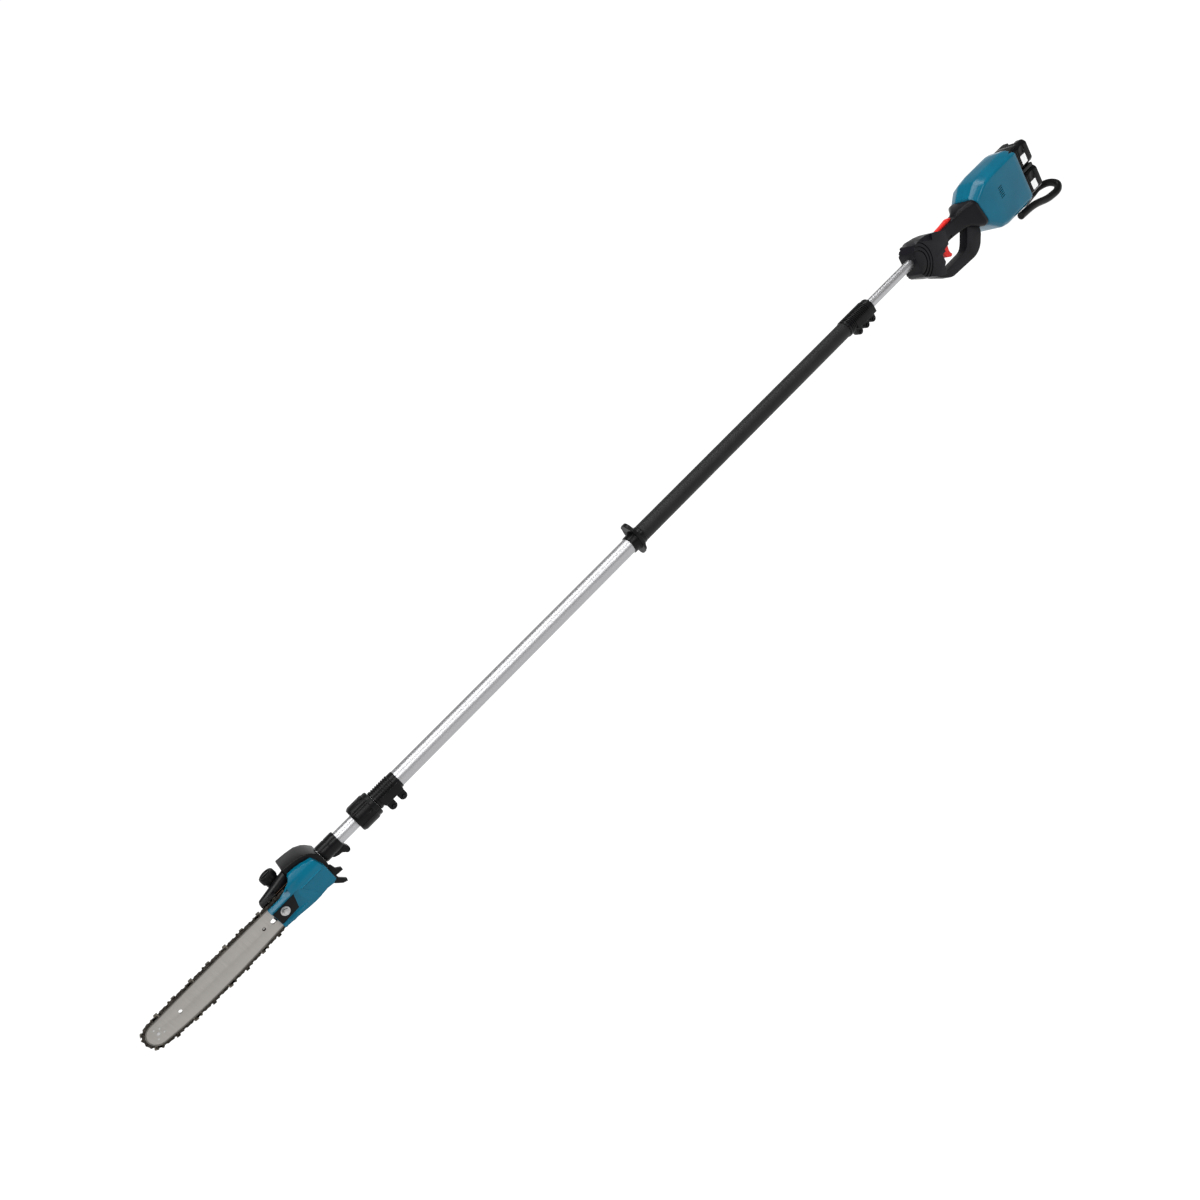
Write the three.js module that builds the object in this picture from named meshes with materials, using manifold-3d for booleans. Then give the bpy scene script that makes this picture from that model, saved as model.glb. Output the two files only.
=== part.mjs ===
// Telescoping pole saw, in millimetres, +Z up.
// The pole runs along X: the saw head points to -X, the motor and batteries are at +X.
// Lengths along the pole are counted from the telescope's front collar, heights from the pole's axis.
// The outer group moves the finished saw onto its origin: the middle of its lowest face.
import * as THREE from 'three';
import { mergeVertices } from 'three/addons/utils/BufferGeometryUtils.js';
import Module from 'manifold-3d';

const wasm = await Module();
wasm.setup();

// ---------------------------------------------------------------- driving dimensions
const GAP = 0.3; // clearance between pieces that touch
const HALF_GAP = GAP / 2;
const ROUND = 24; // sides of a visible round piece
const ROUND_INNER = 16; // sides of a hidden round piece

const INNER_TUBE = { outer: 14, bore: 12.4, front: -112, rear: 1400 };
const OUTER_TUBE = { outer: 17.8, bore: 16, front: -6, rear: 1591 };
const REAR_PIPE = { outer: 11.5, bore: 9.8, front: 1525, rear: 1800 };
const FRONT_SHAFT = { outer: 6.5, journal: 4.5, front: -129, shoulder: -119, rear: 1330 };
const REAR_SHAFT = { corner: 3.9, front: 100, rear: 2092 };
const HEX_BORE_CORNER = 4.4; // hexagon bore of the front shaft, over its corners

const SPINDLE = { x: -140, radius: 5, near: -40.5, far: 22 };
const PINION_TEETH = 12;
const GEAR_TEETH = 18;
const SPROCKET_TEETH = 6;
const NOSE_TEETH = 9;

const BAR = { near: -36.9, far: -33.1, nose: { x: -489.6, z: -4, radius: 21.4 }, tail: -188 };
const CHAIN = { near: -38.2, far: -31.8, gap: 0.8, strap: 6.4, cutter: 8.9, pitch: 38.1 };
const SPROCKET_RAIL = 14; // radius of the circle that carries the chain round the drive sprocket
const STUD = { x: -208, z: -9, radius: 3.9 };

const COVER = { near: -46, far: -27.3, wall: 2.5, floor: -41.2, channelTop: 4.5, channelBottom: -25 };
const CASE_HALF_WIDTH = 27;
const GEAR_ROOM = 20; // radius of the room round the bevel gear
const BEVEL = { pinion: 11.2, gear: 16.8 }; // outer pitch radii, which are also each other's cone heights
const CAP = { x: -190, y: 2, radius: 15.5, bottom: 37, top: 51.5, neck: 9 };

const COLLAR = { front: -15, rear: 34, radius: 28, waist: 26.4, ribs: 14 };
const FRONT_CLAMP = { front: 34.5, rear: 94, radius: 20.4, screws: [54, 80] };
const STOP = { front: 761.5, rear: 798.5, radius: 20.2, plate: 12 };
const FOAM = { front: 799, rear: 1507.5, radius: 19.15 };
const REAR_CLAMP = { front: 1508, rear: 1599, radius: 21, screws: [1541, 1566, 1590] };

const HOUSING = { rear: 2168, wall: 3, halfWidth: 50, middle: -19 };
const VENTS = { count: 6, front: 2064, rear: 2080, lowest: -27, pitch: 5, height: 2.4 };
const MOTOR = { front: 2036, rear: 2076, outer: 31, bore: 17.4, rotor: 16.6 };
const PACK = { front: 2112, rear: 2230, halfWidth: 37.5, height: 59, edge: 5, chamfer: 8 };
const PACK_BOTTOMS = { upper: -20.5, lower: -89.6 };
const BUTTON = { length: 13, halfWidth: 13, height: 8, drop: 9, travel: 3 };
const HOOP = { radius: 9.5, halfWidth: 38, rear: 2287 };

// ---------------------------------------------------------------- finishes
const finish = (color, roughness, metalness) => () =>
  new THREE.MeshStandardMaterial({ color, roughness, metalness });
const blackPlastic = finish(0x1c1c1f, 0.55, 0);
const tealPlastic = finish(0x1a6e86, 0.3, 0);
const redPlastic = finish(0xd0201a, 0.35, 0);
const foam = finish(0x202022, 0.85, 0);
const silver = finish(0xc9cacc, 0.3, 1);
const barSteel = finish(0xa6a39f, 0.45, 1);
const chainSteel = finish(0x3a3836, 0.4, 1);
const steel = finish(0xb4b4b2, 0.3, 1);
const bronze = finish(0xa98a4e, 0.4, 1);
const copper = finish(0xb06a3c, 0.4, 1);
const greyPlastic = finish(0x6f7276, 0.5, 0);

// ---------------------------------------------------------------- shape helpers
function signedVolume(geometry) {
  const flat = geometry.index ? geometry.toNonIndexed() : geometry;
  const position = flat.attributes.position;
  const [a, b, c] = [new THREE.Vector3(), new THREE.Vector3(), new THREE.Vector3()];
  let sum = 0;
  for (let i = 0; i < position.count; i += 3) {
    a.fromBufferAttribute(position, i);
    b.fromBufferAttribute(position, i + 1);
    c.fromBufferAttribute(position, i + 2);
    sum += a.dot(b.cross(c)) / 6;
  }
  return sum;
}

// Merged triangles without slivers, with every face pointing out.
function cleanMesh(geometry) {
  const bare = geometry.clone();
  bare.deleteAttribute('normal');
  bare.deleteAttribute('uv');
  const merged = mergeVertices(bare, 1e-4);
  const flip = signedVolume(merged) < 0;
  const kept = [];
  const index = merged.index.array;
  for (let i = 0; i < index.length; i += 3) {
    const [a, b, c] = [index[i], index[i + 1], index[i + 2]];
    if (a === b || b === c || c === a) continue;
    kept.push(...(flip ? [a, c, b] : [a, b, c]));
  }
  merged.setIndex(kept);
  return merged;
}

function solid(geometry) {
  const mesh = cleanMesh(geometry);
  return new wasm.Manifold(
    new wasm.Mesh({
      numProp: 3,
      vertProperties: new Float32Array(mesh.attributes.position.array),
      triVerts: new Uint32Array(mesh.index.array),
    }),
  );
}

function toGeometry(manifold) {
  const mesh = manifold.getMesh();
  const geometry = new THREE.BufferGeometry();
  geometry.setAttribute('position', new THREE.BufferAttribute(mesh.vertProperties, 3));
  geometry.setIndex(new THREE.BufferAttribute(mesh.triVerts, 1));
  return geometry;
}

const joined = (first, ...rest) => rest.reduce((sum, piece) => sum.add(piece), first);
const without = (first, ...rest) => rest.reduce((sum, piece) => sum.subtract(piece), first);

function block(x0, x1, y0, y1, z0, z1) {
  const box = new THREE.BoxGeometry(x1 - x0, y1 - y0, z1 - z0);
  return box.translate((x0 + x1) / 2, (y0 + y1) / 2, (z0 + z1) / 2);
}

// A turned piece about the pole's axis: profile points are [radius, x].
function turned(profile, sides = ROUND) {
  const onAxis = profile[0][0] === 0 && profile[profile.length - 1][0] === 0;
  const points = (onAxis ? profile : [...profile, profile[0]]).map(([r, x]) => new THREE.Vector2(r, x));
  return new THREE.LatheGeometry(points, sides).rotateZ(-Math.PI / 2);
}

// A ring, or a rod when the bore is 0, along the pole.
function ring(outer, bore, x0, x1, sides = ROUND) {
  if (bore === 0) return turned([[0, x0], [outer, x0], [outer, x1], [0, x1]], sides);
  return turned([[bore, x0], [outer, x0], [outer, x1], [bore, x1]], sides);
}

// The same ring laid across the pole, along Y, at (x, z).
function crossRing(outer, bore, y0, y1, x, z, sides = ROUND_INNER) {
  return ring(outer, bore, y0, y1, sides).rotateZ(Math.PI / 2).translate(x, 0, z);
}

// A ring standing upright, along Z.
function uprightRing(outer, bore, z0, z1, x, y, sides = ROUND) {
  return ring(outer, bore, z0, z1, sides).rotateY(-Math.PI / 2).translate(x, y, 0);
}

function outline(points) {
  return new THREE.Shape(points.map(([u, v]) => new THREE.Vector2(u, v)));
}

// A plate whose outline lies in X and Z, between two Y planes; edge is the width of its bevel.
function sidePlate(shape, y0, y1, edge = 0, edgeSteps = 2) {
  const settings = {
    depth: y1 - y0 - 2 * edge,
    bevelEnabled: edge > 0,
    bevelThickness: edge,
    bevelSize: edge,
    bevelOffset: -edge,
    bevelSegments: edgeSteps,
    curveSegments: 8,
  };
  const plate = new THREE.ExtrudeGeometry(shape, settings).translate(0, 0, edge);
  return plate.rotateX(Math.PI / 2).translate(0, y1, 0);
}

// A plate whose outline lies in Y and Z, between two X planes.
function crossPlate(shape, x0, x1, edge = 0) {
  const settings = {
    depth: x1 - x0 - 2 * edge,
    bevelEnabled: edge > 0,
    bevelThickness: edge,
    bevelSize: edge,
    bevelOffset: -edge,
    bevelSegments: 2,
    curveSegments: 8,
  };
  const turn = new THREE.Matrix4().makeBasis(
    new THREE.Vector3(0, 1, 0),
    new THREE.Vector3(0, 0, 1),
    new THREE.Vector3(1, 0, 0),
  );
  const plate = new THREE.ExtrudeGeometry(shape, settings).translate(0, 0, edge);
  return plate.applyMatrix4(turn).translate(x0, 0, 0);
}

// A skin over rings of [x, y, z] points, each ring with the same number of points, closed at both ends.
function loft(rings) {
  const count = rings[0].length;
  const position = rings.flat(2);
  const index = [];
  for (let r = 0; r + 1 < rings.length; r += 1) {
    for (let i = 0; i < count; i += 1) {
      const [a, b] = [r * count + i, r * count + ((i + 1) % count)];
      index.push(a, b, b + count, a, b + count, a + count);
    }
  }
  const flat = rings[0].map(([, y, z]) => new THREE.Vector2(y, z));
  const last = (rings.length - 1) * count;
  for (const [a, b, c] of THREE.ShapeUtils.triangulateShape(flat, [])) {
    index.push(a, c, b, last + a, last + b, last + c);
  }
  const geometry = new THREE.BufferGeometry();
  geometry.setAttribute('position', new THREE.Float32BufferAttribute(position, 3));
  geometry.setIndex(index);
  return geometry;
}

// A toothed outline with straight-sided teeth; share is the part of a pitch that a tooth's tip takes.
function toothedOutline(teeth, root, tip, share, phase = 0) {
  const points = [];
  const pitch = (2 * Math.PI) / teeth;
  for (let i = 0; i < teeth; i += 1) {
    const steps = [[-1.5, root], [-0.8, tip], [0.8, tip], [1.5, root]];
    for (const [step, radius] of steps) {
      const angle = phase + i * pitch + (step * share * pitch) / 2;
      points.push([radius * Math.cos(angle), radius * Math.sin(angle)]);
    }
  }
  return points;
}

// The two shells of a casing that is split along the pole's upright middle plane.
const leftHalf = (piece) => piece.intersect(solid(block(-600, 2400, -200, -HALF_GAP, -300, 300)));
const rightHalf = (piece) => piece.intersect(solid(block(-600, 2400, HALF_GAP, 200, -300, 300)));

// ---------------------------------------------------------------- scene graph
const saw = new THREE.Group();

function add(name, shape, material) {
  const geometry = shape instanceof THREE.BufferGeometry ? cleanMesh(shape) : toGeometry(shape);
  geometry.computeVertexNormals();
  const mesh = new THREE.Mesh(geometry, material());
  mesh.name = name;
  saw.add(mesh);
}

// ---------------------------------------------------------------- guide bar and chain
function upperEdge() {
  return new THREE.QuadraticBezierCurve(
    new THREE.Vector2(BAR.tail, 15.3),
    new THREE.Vector2(-340, 18.5),
    new THREE.Vector2(BAR.nose.x, BAR.nose.z + BAR.nose.radius),
  );
}

function lowerEdge() {
  return new THREE.QuadraticBezierCurve(
    new THREE.Vector2(BAR.nose.x, BAR.nose.z - BAR.nose.radius),
    new THREE.Vector2(-400, -40),
    new THREE.Vector2(BAR.tail, -28.5),
  );
}

function noseArc() {
  const { x, z, radius } = BAR.nose;
  return new THREE.ArcCurve(x, z, radius, Math.PI / 2, 1.5 * Math.PI, false);
}

function barOutline() {
  const points = [...upperEdge().getPoints(8), ...noseArc().getPoints(12), ...lowerEdge().getPoints(10)];
  return new THREE.Shape(points.filter((point, i) => i === 0 || point.distanceTo(points[i - 1]) > 0.01));
}

function guideBar() {
  const plate = solid(sidePlate(barOutline(), BAR.near, BAR.far));
  const slot = solid(block(-224, -194, -60, 0, STUD.z - 4.4, STUD.z + 4.4));
  const nosePocket = solid(crossRing(23, 0, -35.7, -34.3, BAR.nose.x, BAR.nose.z, 20));
  const rivetHole = solid(crossRing(3.3, 0, -60, 0, BAR.nose.x, BAR.nose.z));
  const lighteningHole = solid(crossRing(3.4, 0, -60, 0, -442, -4));
  const oilHole = solid(crossRing(3.2, 0, -60, 0, -255, -7.5));
  return without(plate, slot, nosePocket, rivetHole, lighteningHole, oilHole);
}

// The closed line that carries the chain: bar edges, nose and the circle round the drive sprocket.
function chainRail() {
  const rail = new THREE.CurvePath();
  const top = new THREE.Vector2(SPINDLE.x, SPROCKET_RAIL);
  const bottom = new THREE.Vector2(SPINDLE.x, -SPROCKET_RAIL);
  rail.add(new THREE.LineCurve(top, new THREE.Vector2(BAR.tail, 15.3)));
  rail.add(upperEdge());
  rail.add(noseArc());
  rail.add(lowerEdge());
  rail.add(new THREE.LineCurve(new THREE.Vector2(BAR.tail, -28.5), bottom));
  rail.add(new THREE.ArcCurve(SPINDLE.x, 0, SPROCKET_RAIL, -Math.PI / 2, Math.PI / 2, false));
  return rail;
}

// A point beside the rail, at a distance along it and an offset away from the bar.
function besideRail(rail, length, along, offset) {
  const u = (((along / length) % 1) + 1) % 1;
  const point = rail.getPoint(u);
  const ahead = rail.getPoint(Math.min(u + 0.002, 1));
  const behind = rail.getPoint(Math.max(u - 0.002, 0));
  const tangent = ahead.sub(behind).normalize();
  return [point.x + tangent.y * offset, point.y - tangent.x * offset];
}

function sawChain() {
  const rail = chainRail();
  const length = rail.getLength();
  const cutters = Math.round(length / CHAIN.pitch);
  const pitch = length / cutters;
  const outer = [];
  const { strap, cutter } = CHAIN;
  const link = [[0, strap], [8, cutter], [11, strap], [15, cutter], [27, strap + 1]];
  for (let i = 0; i < cutters; i += 1) {
    for (const [step, offset] of link) outer.push(besideRail(rail, length, i * pitch + step, offset));
  }
  const inner = [];
  const innerSteps = 124;
  for (let i = 0; i < innerSteps; i += 1) {
    inner.push(besideRail(rail, length, (i * length) / innerSteps, CHAIN.gap));
  }
  const shape = outline(outer);
  shape.holes.push(new THREE.Path(inner.reverse().map(([u, v]) => new THREE.Vector2(u, v))));
  return sidePlate(shape, CHAIN.near, CHAIN.far);
}

function noseSprocket() {
  const shape = outline(toothedOutline(NOSE_TEETH, 15, 18.5, 0.4));
  const disc = sidePlate(shape, -35.4, -34.6).translate(BAR.nose.x, 0, BAR.nose.z);
  return without(solid(disc), solid(crossRing(3.5, 0, -60, 0, BAR.nose.x, BAR.nose.z)));
}

function barAndChain() {
  add('guide_bar', guideBar(), barSteel);
  add('saw_chain', sawChain(), chainSteel);
  add('nose_sprocket', noseSprocket(), steel);
  add('nose_rivet', crossRing(3, 0, BAR.near - 0.5, BAR.far + 0.5, BAR.nose.x, BAR.nose.z), steel);
}

// ---------------------------------------------------------------- saw head
function caseOutline() {
  return outline([
    [-101, -12], [-101, 20], [-112, 34], [-126, 41], [-165, 46], [-165, 0],
    [-231, 0], [-233, -4], [-233, -34], [-190, -37], [-122, -36],
  ]);
}

function gearCase() {
  const body = solid(sidePlate(caseOutline(), -CASE_HALF_WIDTH, CASE_HALF_WIDTH, 4, 1));
  const barPad = solid(block(-231, -184, -32.8, -20, -26, 0));
  const gearRoom = solid(crossRing(GEAR_ROOM, 0, -40, 19, SPINDLE.x, 0, 24));
  const farSeat = solid(crossRing(SPINDLE.radius + GAP, 0, 10, 23, SPINDLE.x, 0));
  const tubeSocket = solid(ring(INNER_TUBE.outer + GAP, 0, -113, -90));
  const shaftWay = solid(ring(9, 0, -140, -100, ROUND_INNER));
  const pinionRoom = solid(ring(BEVEL.pinion + 2, 0, SPINDLE.x, SPINDLE.x + BEVEL.gear + 4, 20));
  const studHole = solid(crossRing(STUD.radius + GAP, 0, -60, -14, STUD.x, STUD.z));
  const tensionHole = solid(crossRing(3.6, 0, -60, -18, -226, -19));
  const holes = [farSeat, tubeSocket, shaftWay, studHole, tensionHole];
  return without(body.add(barPad), gearRoom, pinionRoom, ...holes);
}

function gearCover() {
  const disc = turned([
    [13.4, -27], [GEAR_ROOM - GAP, -27], [GEAR_ROOM - GAP, -23.4], [13.4, -23.4],
  ]);
  return disc.rotateZ(Math.PI / 2).translate(SPINDLE.x, 0, 0);
}

function tankSection(x, ridge) {
  return [[x, 26, 0.4], [x, 26, ridge - 21], [x, -18, ridge], [x, -27, ridge - 4], [x, -27, 0.4]];
}

function oilTank() {
  const body = solid(loft([
    tankSection(-165.4, 41.5), tankSection(-229, 29.8), tankSection(-232.6, 27.6),
  ]));
  const chainRoof = solid(block(-231, -198, -40, -20, 25.8, 28.4));
  const neck = solid(uprightRing(13, 0, 15, CAP.bottom - GAP, CAP.x, CAP.y, 20));
  const filler = solid(uprightRing(CAP.neck, 0, 22, 60, CAP.x, CAP.y, 20));
  return without(joined(body, neck, chainRoof), filler);
}

function oilCap() {
  const knob = new THREE.Shape(
    toothedOutline(10, CAP.radius - 1.6, CAP.radius, 0.5).map(([u, v]) => new THREE.Vector2(u, v)),
  );
  const settings = {
    depth: CAP.top - CAP.bottom - 2,
    bevelEnabled: true,
    bevelThickness: 1,
    bevelSize: 1,
    bevelOffset: -1,
    bevelSegments: 1,
  };
  return new THREE.ExtrudeGeometry(knob, settings).translate(CAP.x, CAP.y, CAP.bottom + 1);
}

function coverOutline() {
  return outline([
    [-228, -31], [-228, 15.5], [-200, 15], [-189, 18.5], [-171, 26], [-165, 32], [-160, 34.5],
    [-149, 34], [-133, 31], [-114, 24.5], [-107, -3.5], [-109, -35], [-118, -38], [-131, -36],
    [-142, -37], [-159, -37.5], [-176, -36], [-196, -33.5],
  ]);
}

function sprocketCover() {
  const body = solid(sidePlate(coverOutline(), COVER.near, COVER.far, 3.5, 2));
  const insideOutline = outline([
    [-240, -60], [-240, 40], [-170, 40], [-165, 28.5], [-160, 31.5], [-149, 31], [-134, 28],
    [-117, 22.5], [-110, -3.5], [-112, -31], [-120, -34.5], [-138, -33], [-146, -60],
  ]);
  const inside = solid(sidePlate(insideOutline, COVER.near + COVER.wall, 0));
  const channelSkin = solid(
    block(-240, -166, -60, COVER.floor + 2.4, COVER.channelBottom - 2.2, COVER.channelTop + 2.2),
  );
  const channel = solid(block(-240, -168, -60, COVER.floor, COVER.channelBottom, COVER.channelTop));
  const studHole = solid(crossRing(STUD.radius + GAP, 0, -60, 0, STUD.x, STUD.z));
  return without(body, inside.subtract(channelSkin), channel, studHole);
}

function branchHook() {
  const shape = outline([
    [-103.6, -15.6], [-100, -19], [-98, -30], [-90, -37], [-91, -42], [-101, -41],
    [-107, -40], [-106, -50], [-97, -61], [-99, -66], [-108, -62], [-119, -50], [-121.4, -36.2],
  ]);
  return sidePlate(shape, -24, -16, 1, 1);
}

function headSleeve() {
  const collar = solid(turned([
    [INNER_TUBE.outer + GAP, -100.6], [17.2, -100.6], [18.2, -99], [18.2, -61],
    [17.4, -59], [INNER_TUBE.outer + GAP, -59],
  ]));
  const lobe = outline([
    [-92, -14], [-59.5, -14], [-56, -20], [-54.5, -29], [-58, -34], [-64, -34], [-67, -29],
    [-71, -25], [-78, -24], [-86, -21],
  ]);
  const hook = solid(sidePlate(lobe, -7, 7, 2, 1));
  const bore = solid(ring(INNER_TUBE.outer + GAP, 0, -110, -50));
  return collar.add(hook).subtract(bore);
}

function barNut() {
  const flange = crossRing(8.4, 0, COVER.floor - 2.2, COVER.floor - GAP, STUD.x, STUD.z, 20);
  const hexagon = crossRing(6.6, 0, COVER.floor - 8, COVER.floor - 2, STUD.x, STUD.z, 6);
  const bore = crossRing(STUD.radius + GAP, 0, -60, 0, STUD.x, STUD.z);
  return without(solid(flange).add(solid(hexagon)), solid(bore));
}

function sawHead() {
  add('gear_case', gearCase(), blackPlastic);
  add('gear_cover', gearCover(), greyPlastic);
  add('oil_tank', oilTank(), blackPlastic);
  add('oil_cap', oilCap(), blackPlastic);
  add('oil_cap_plug', uprightRing(CAP.neck - GAP, 0, 24, CAP.bottom - GAP, CAP.x, CAP.y, 20), blackPlastic);
  add('sprocket_cover', sprocketCover(), tealPlastic);
  add('bar_stud', crossRing(STUD.radius, 0, COVER.floor - 8.6, -15, STUD.x, STUD.z), steel);
  add('bar_nut', barNut(), steel);
  add('tension_screw', crossRing(3.2, 0, -32.6, -19, -226, -19, 12), steel);
  add('branch_hook', branchHook(), blackPlastic);
  add('head_sleeve', headSleeve(), blackPlastic);
}

// ---------------------------------------------------------------- drive line
// A bevel gear's teeth run between two toothed outlines, both scaled from one apex on the spindle.
function bevelWheel(teeth, axial, radius, phase) {
  const inner = 0.62;
  const outerRing = toothedOutline(teeth, radius - 1.8, radius + 0.4, 0.26, phase);
  const wheel = [
    outerRing.map(([u, v]) => [axial + 3, u * 0.9, v * 0.9]),
    outerRing.map(([u, v]) => [axial, u, v]),
    outerRing.map(([u, v]) => [axial * inner, u * inner, v * inner]),
  ];
  return loft(wheel);
}

function bevelPair() {
  const pinion = bevelWheel(PINION_TEETH, BEVEL.gear, BEVEL.pinion, Math.PI / PINION_TEETH);
  const gear = bevelWheel(GEAR_TEETH, BEVEL.pinion, BEVEL.gear, 0);
  const shaftHole = solid(ring(FRONT_SHAFT.journal + GAP, 0, -200, 200, ROUND_INNER));
  const spindleHole = solid(crossRing(SPINDLE.radius + GAP, 0, -60, 60, SPINDLE.x, 0));
  gear.rotateZ(-Math.PI / 2);
  add('bevel_pinion', solid(pinion.translate(SPINDLE.x, 0, 0)).subtract(shaftHole), steel);
  add('bevel_gear', solid(gear.translate(SPINDLE.x, 0, 0)).subtract(spindleHole), steel);
}

function frontShaft() {
  const { outer, journal, front, shoulder, rear } = FRONT_SHAFT;
  const stepped = turned([
    [0, front], [journal, front], [journal, shoulder], [outer, shoulder], [outer, rear], [0, rear],
  ], ROUND_INNER);
  const bore = ring(HEX_BORE_CORNER, 0, -60, rear + 10, 6);
  return solid(stepped).subtract(solid(bore));
}

function driveSprocket() {
  const shape = outline(toothedOutline(SPROCKET_TEETH, 11, 13.6, 0.45));
  const star = solid(sidePlate(shape, CHAIN.near, CHAIN.far).translate(SPINDLE.x, 0, 0));
  return star.subtract(solid(crossRing(SPINDLE.radius + GAP, 0, -60, 0, SPINDLE.x, 0)));
}

function driveLine() {
  add('front_shaft', frontShaft(), steel);
  add('rear_shaft', ring(REAR_SHAFT.corner, 0, REAR_SHAFT.front, REAR_SHAFT.rear, 6), steel);
  bevelPair();
  add('drive_spindle', crossRing(SPINDLE.radius, 0, SPINDLE.near, SPINDLE.far, SPINDLE.x, 0), steel);
  add('drive_sprocket', driveSprocket(), chainSteel);
  add('spindle_bearing', crossRing(13, SPINDLE.radius + GAP, -28, -23, SPINDLE.x, 0, 20), steel);
  add('shaft_bush', ring(INNER_TUBE.bore - GAP, FRONT_SHAFT.outer + GAP, -60, -46, 20), bronze);
}

// ---------------------------------------------------------------- telescoping pole
function twistCollar() {
  const section = outline(toothedOutline(COLLAR.ribs, COLLAR.waist, COLLAR.radius, 0.5));
  const ribbed = crossPlate(section, COLLAR.front, COLLAR.rear, 2.5);
  const frontBore = solid(ring(INNER_TUBE.outer + 0.6, 0, COLLAR.front - 5, COLLAR.rear));
  const mainBore = solid(ring(OUTER_TUBE.outer + 0.6, 0, -8, COLLAR.rear + 5));
  return without(solid(ribbed), frontBore, mainBore);
}

// A tube clamp in two halves, with screw bosses under it.
function clampBody(clamp, bore, bossBottom) {
  const { front, rear, radius, screws } = clamp;
  const body = solid(turned([
    [bore, front], [radius - 1, front], [radius, front + 2], [radius, rear - 14],
    [radius - 1.5, rear - 12], [radius - 1.5, rear], [bore, rear],
  ]));
  const bosses = screws.map((x) => solid(sidePlate(outline([
    [x - 7, -15], [x + 7, -15], [x + 6, bossBottom + 3],
    [x + 3, bossBottom], [x - 3, bossBottom], [x - 6, bossBottom + 3],
  ]), -9, 9)));
  const holes = screws.map((x) => solid(crossRing(2.5, 0, -30, 30, x, bossBottom + 6.5, 12)));
  const inside = solid(ring(bore, 0, front - 5, rear + 5));
  return without(joined(body, ...bosses), inside, ...holes);
}

function clampScrew(x, z) {
  const screw = turned([[0, -12], [4, -12], [4, -9.3], [2.2, -9.3], [2.2, 9], [0, 9]], 12);
  return screw.rotateZ(Math.PI / 2).translate(x, 0, z);
}

function handStop() {
  const plate = new THREE.Shape();
  plate.absellipse(0, 4, 26, 39, 0, 2 * Math.PI, false);
  const middle = (STOP.front + STOP.rear) / 2 + 1;
  const flange = crossPlate(plate, middle - STOP.plate / 2, middle + STOP.plate / 2, 3);
  const collar = ring(STOP.radius, 0, STOP.front, STOP.rear);
  return solid(flange).add(solid(collar)).subtract(solid(ring(OUTER_TUBE.outer + GAP, 0, 700, 900)));
}

function pole() {
  add('inner_tube', ring(INNER_TUBE.outer, INNER_TUBE.bore, INNER_TUBE.front, INNER_TUBE.rear), silver);
  add('outer_tube', ring(OUTER_TUBE.outer, OUTER_TUBE.bore, OUTER_TUBE.front, OUTER_TUBE.rear, 32), silver);
  add('slide_bush', ring(OUTER_TUBE.bore - GAP, INNER_TUBE.outer + GAP, 0, 40, 20), greyPlastic);
  add('tail_bush', ring(OUTER_TUBE.bore - GAP, INNER_TUBE.outer + GAP, 1370, 1396, 20), greyPlastic);
  add('twist_collar', twistCollar(), blackPlastic);
  const frontClamp = clampBody(FRONT_CLAMP, OUTER_TUBE.outer + GAP, -39);
  add('front_clamp_left', leftHalf(frontClamp), blackPlastic);
  add('front_clamp_right', rightHalf(frontClamp), blackPlastic);
  FRONT_CLAMP.screws.forEach((x, i) => add(`front_clamp_screw_${i + 1}`, clampScrew(x, -32.5), steel));
  add('hand_stop_ring', handStop(), blackPlastic);
  add('foam_grip', ring(FOAM.radius, OUTER_TUBE.outer + GAP, FOAM.front, FOAM.rear), foam);
  const endWall = solid(ring(19.5, REAR_PIPE.outer + GAP, 1592, REAR_CLAMP.rear));
  const rearClamp = clampBody(REAR_CLAMP, OUTER_TUBE.outer + GAP, -36).add(endWall);
  add('rear_clamp_left', leftHalf(rearClamp), blackPlastic);
  add('rear_clamp_right', rightHalf(rearClamp), blackPlastic);
  REAR_CLAMP.screws.forEach((x, i) => add(`rear_clamp_screw_${i + 1}`, clampScrew(x, -29.5), steel));
  add('pipe_adapter', ring(OUTER_TUBE.bore - GAP, REAR_PIPE.outer + GAP, 1526, 1590, 20), greyPlastic);
  add('rear_pipe', ring(REAR_PIPE.outer, REAR_PIPE.bore, REAR_PIPE.front, REAR_PIPE.rear, 24), silver);
}

// ---------------------------------------------------------------- rear handle
function roundedSection(x, slope, middle, halfWidth, halfHeight, corner) {
  const cornerSteps = 3;
  const points = [];
  const centres = [[1, 1], [-1, 1], [-1, -1], [1, -1]];
  centres.forEach(([sy, sz], quarter) => {
    for (let i = 0; i <= cornerSteps; i += 1) {
      const angle = (quarter + i / cornerSteps) * (Math.PI / 2);
      const y = sy * (halfWidth - corner) + corner * Math.cos(angle);
      const z = middle + sz * (halfHeight - corner) + corner * Math.sin(angle);
      points.push([x + slope * (z - middle), y, z]);
    }
  });
  return points;
}

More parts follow.
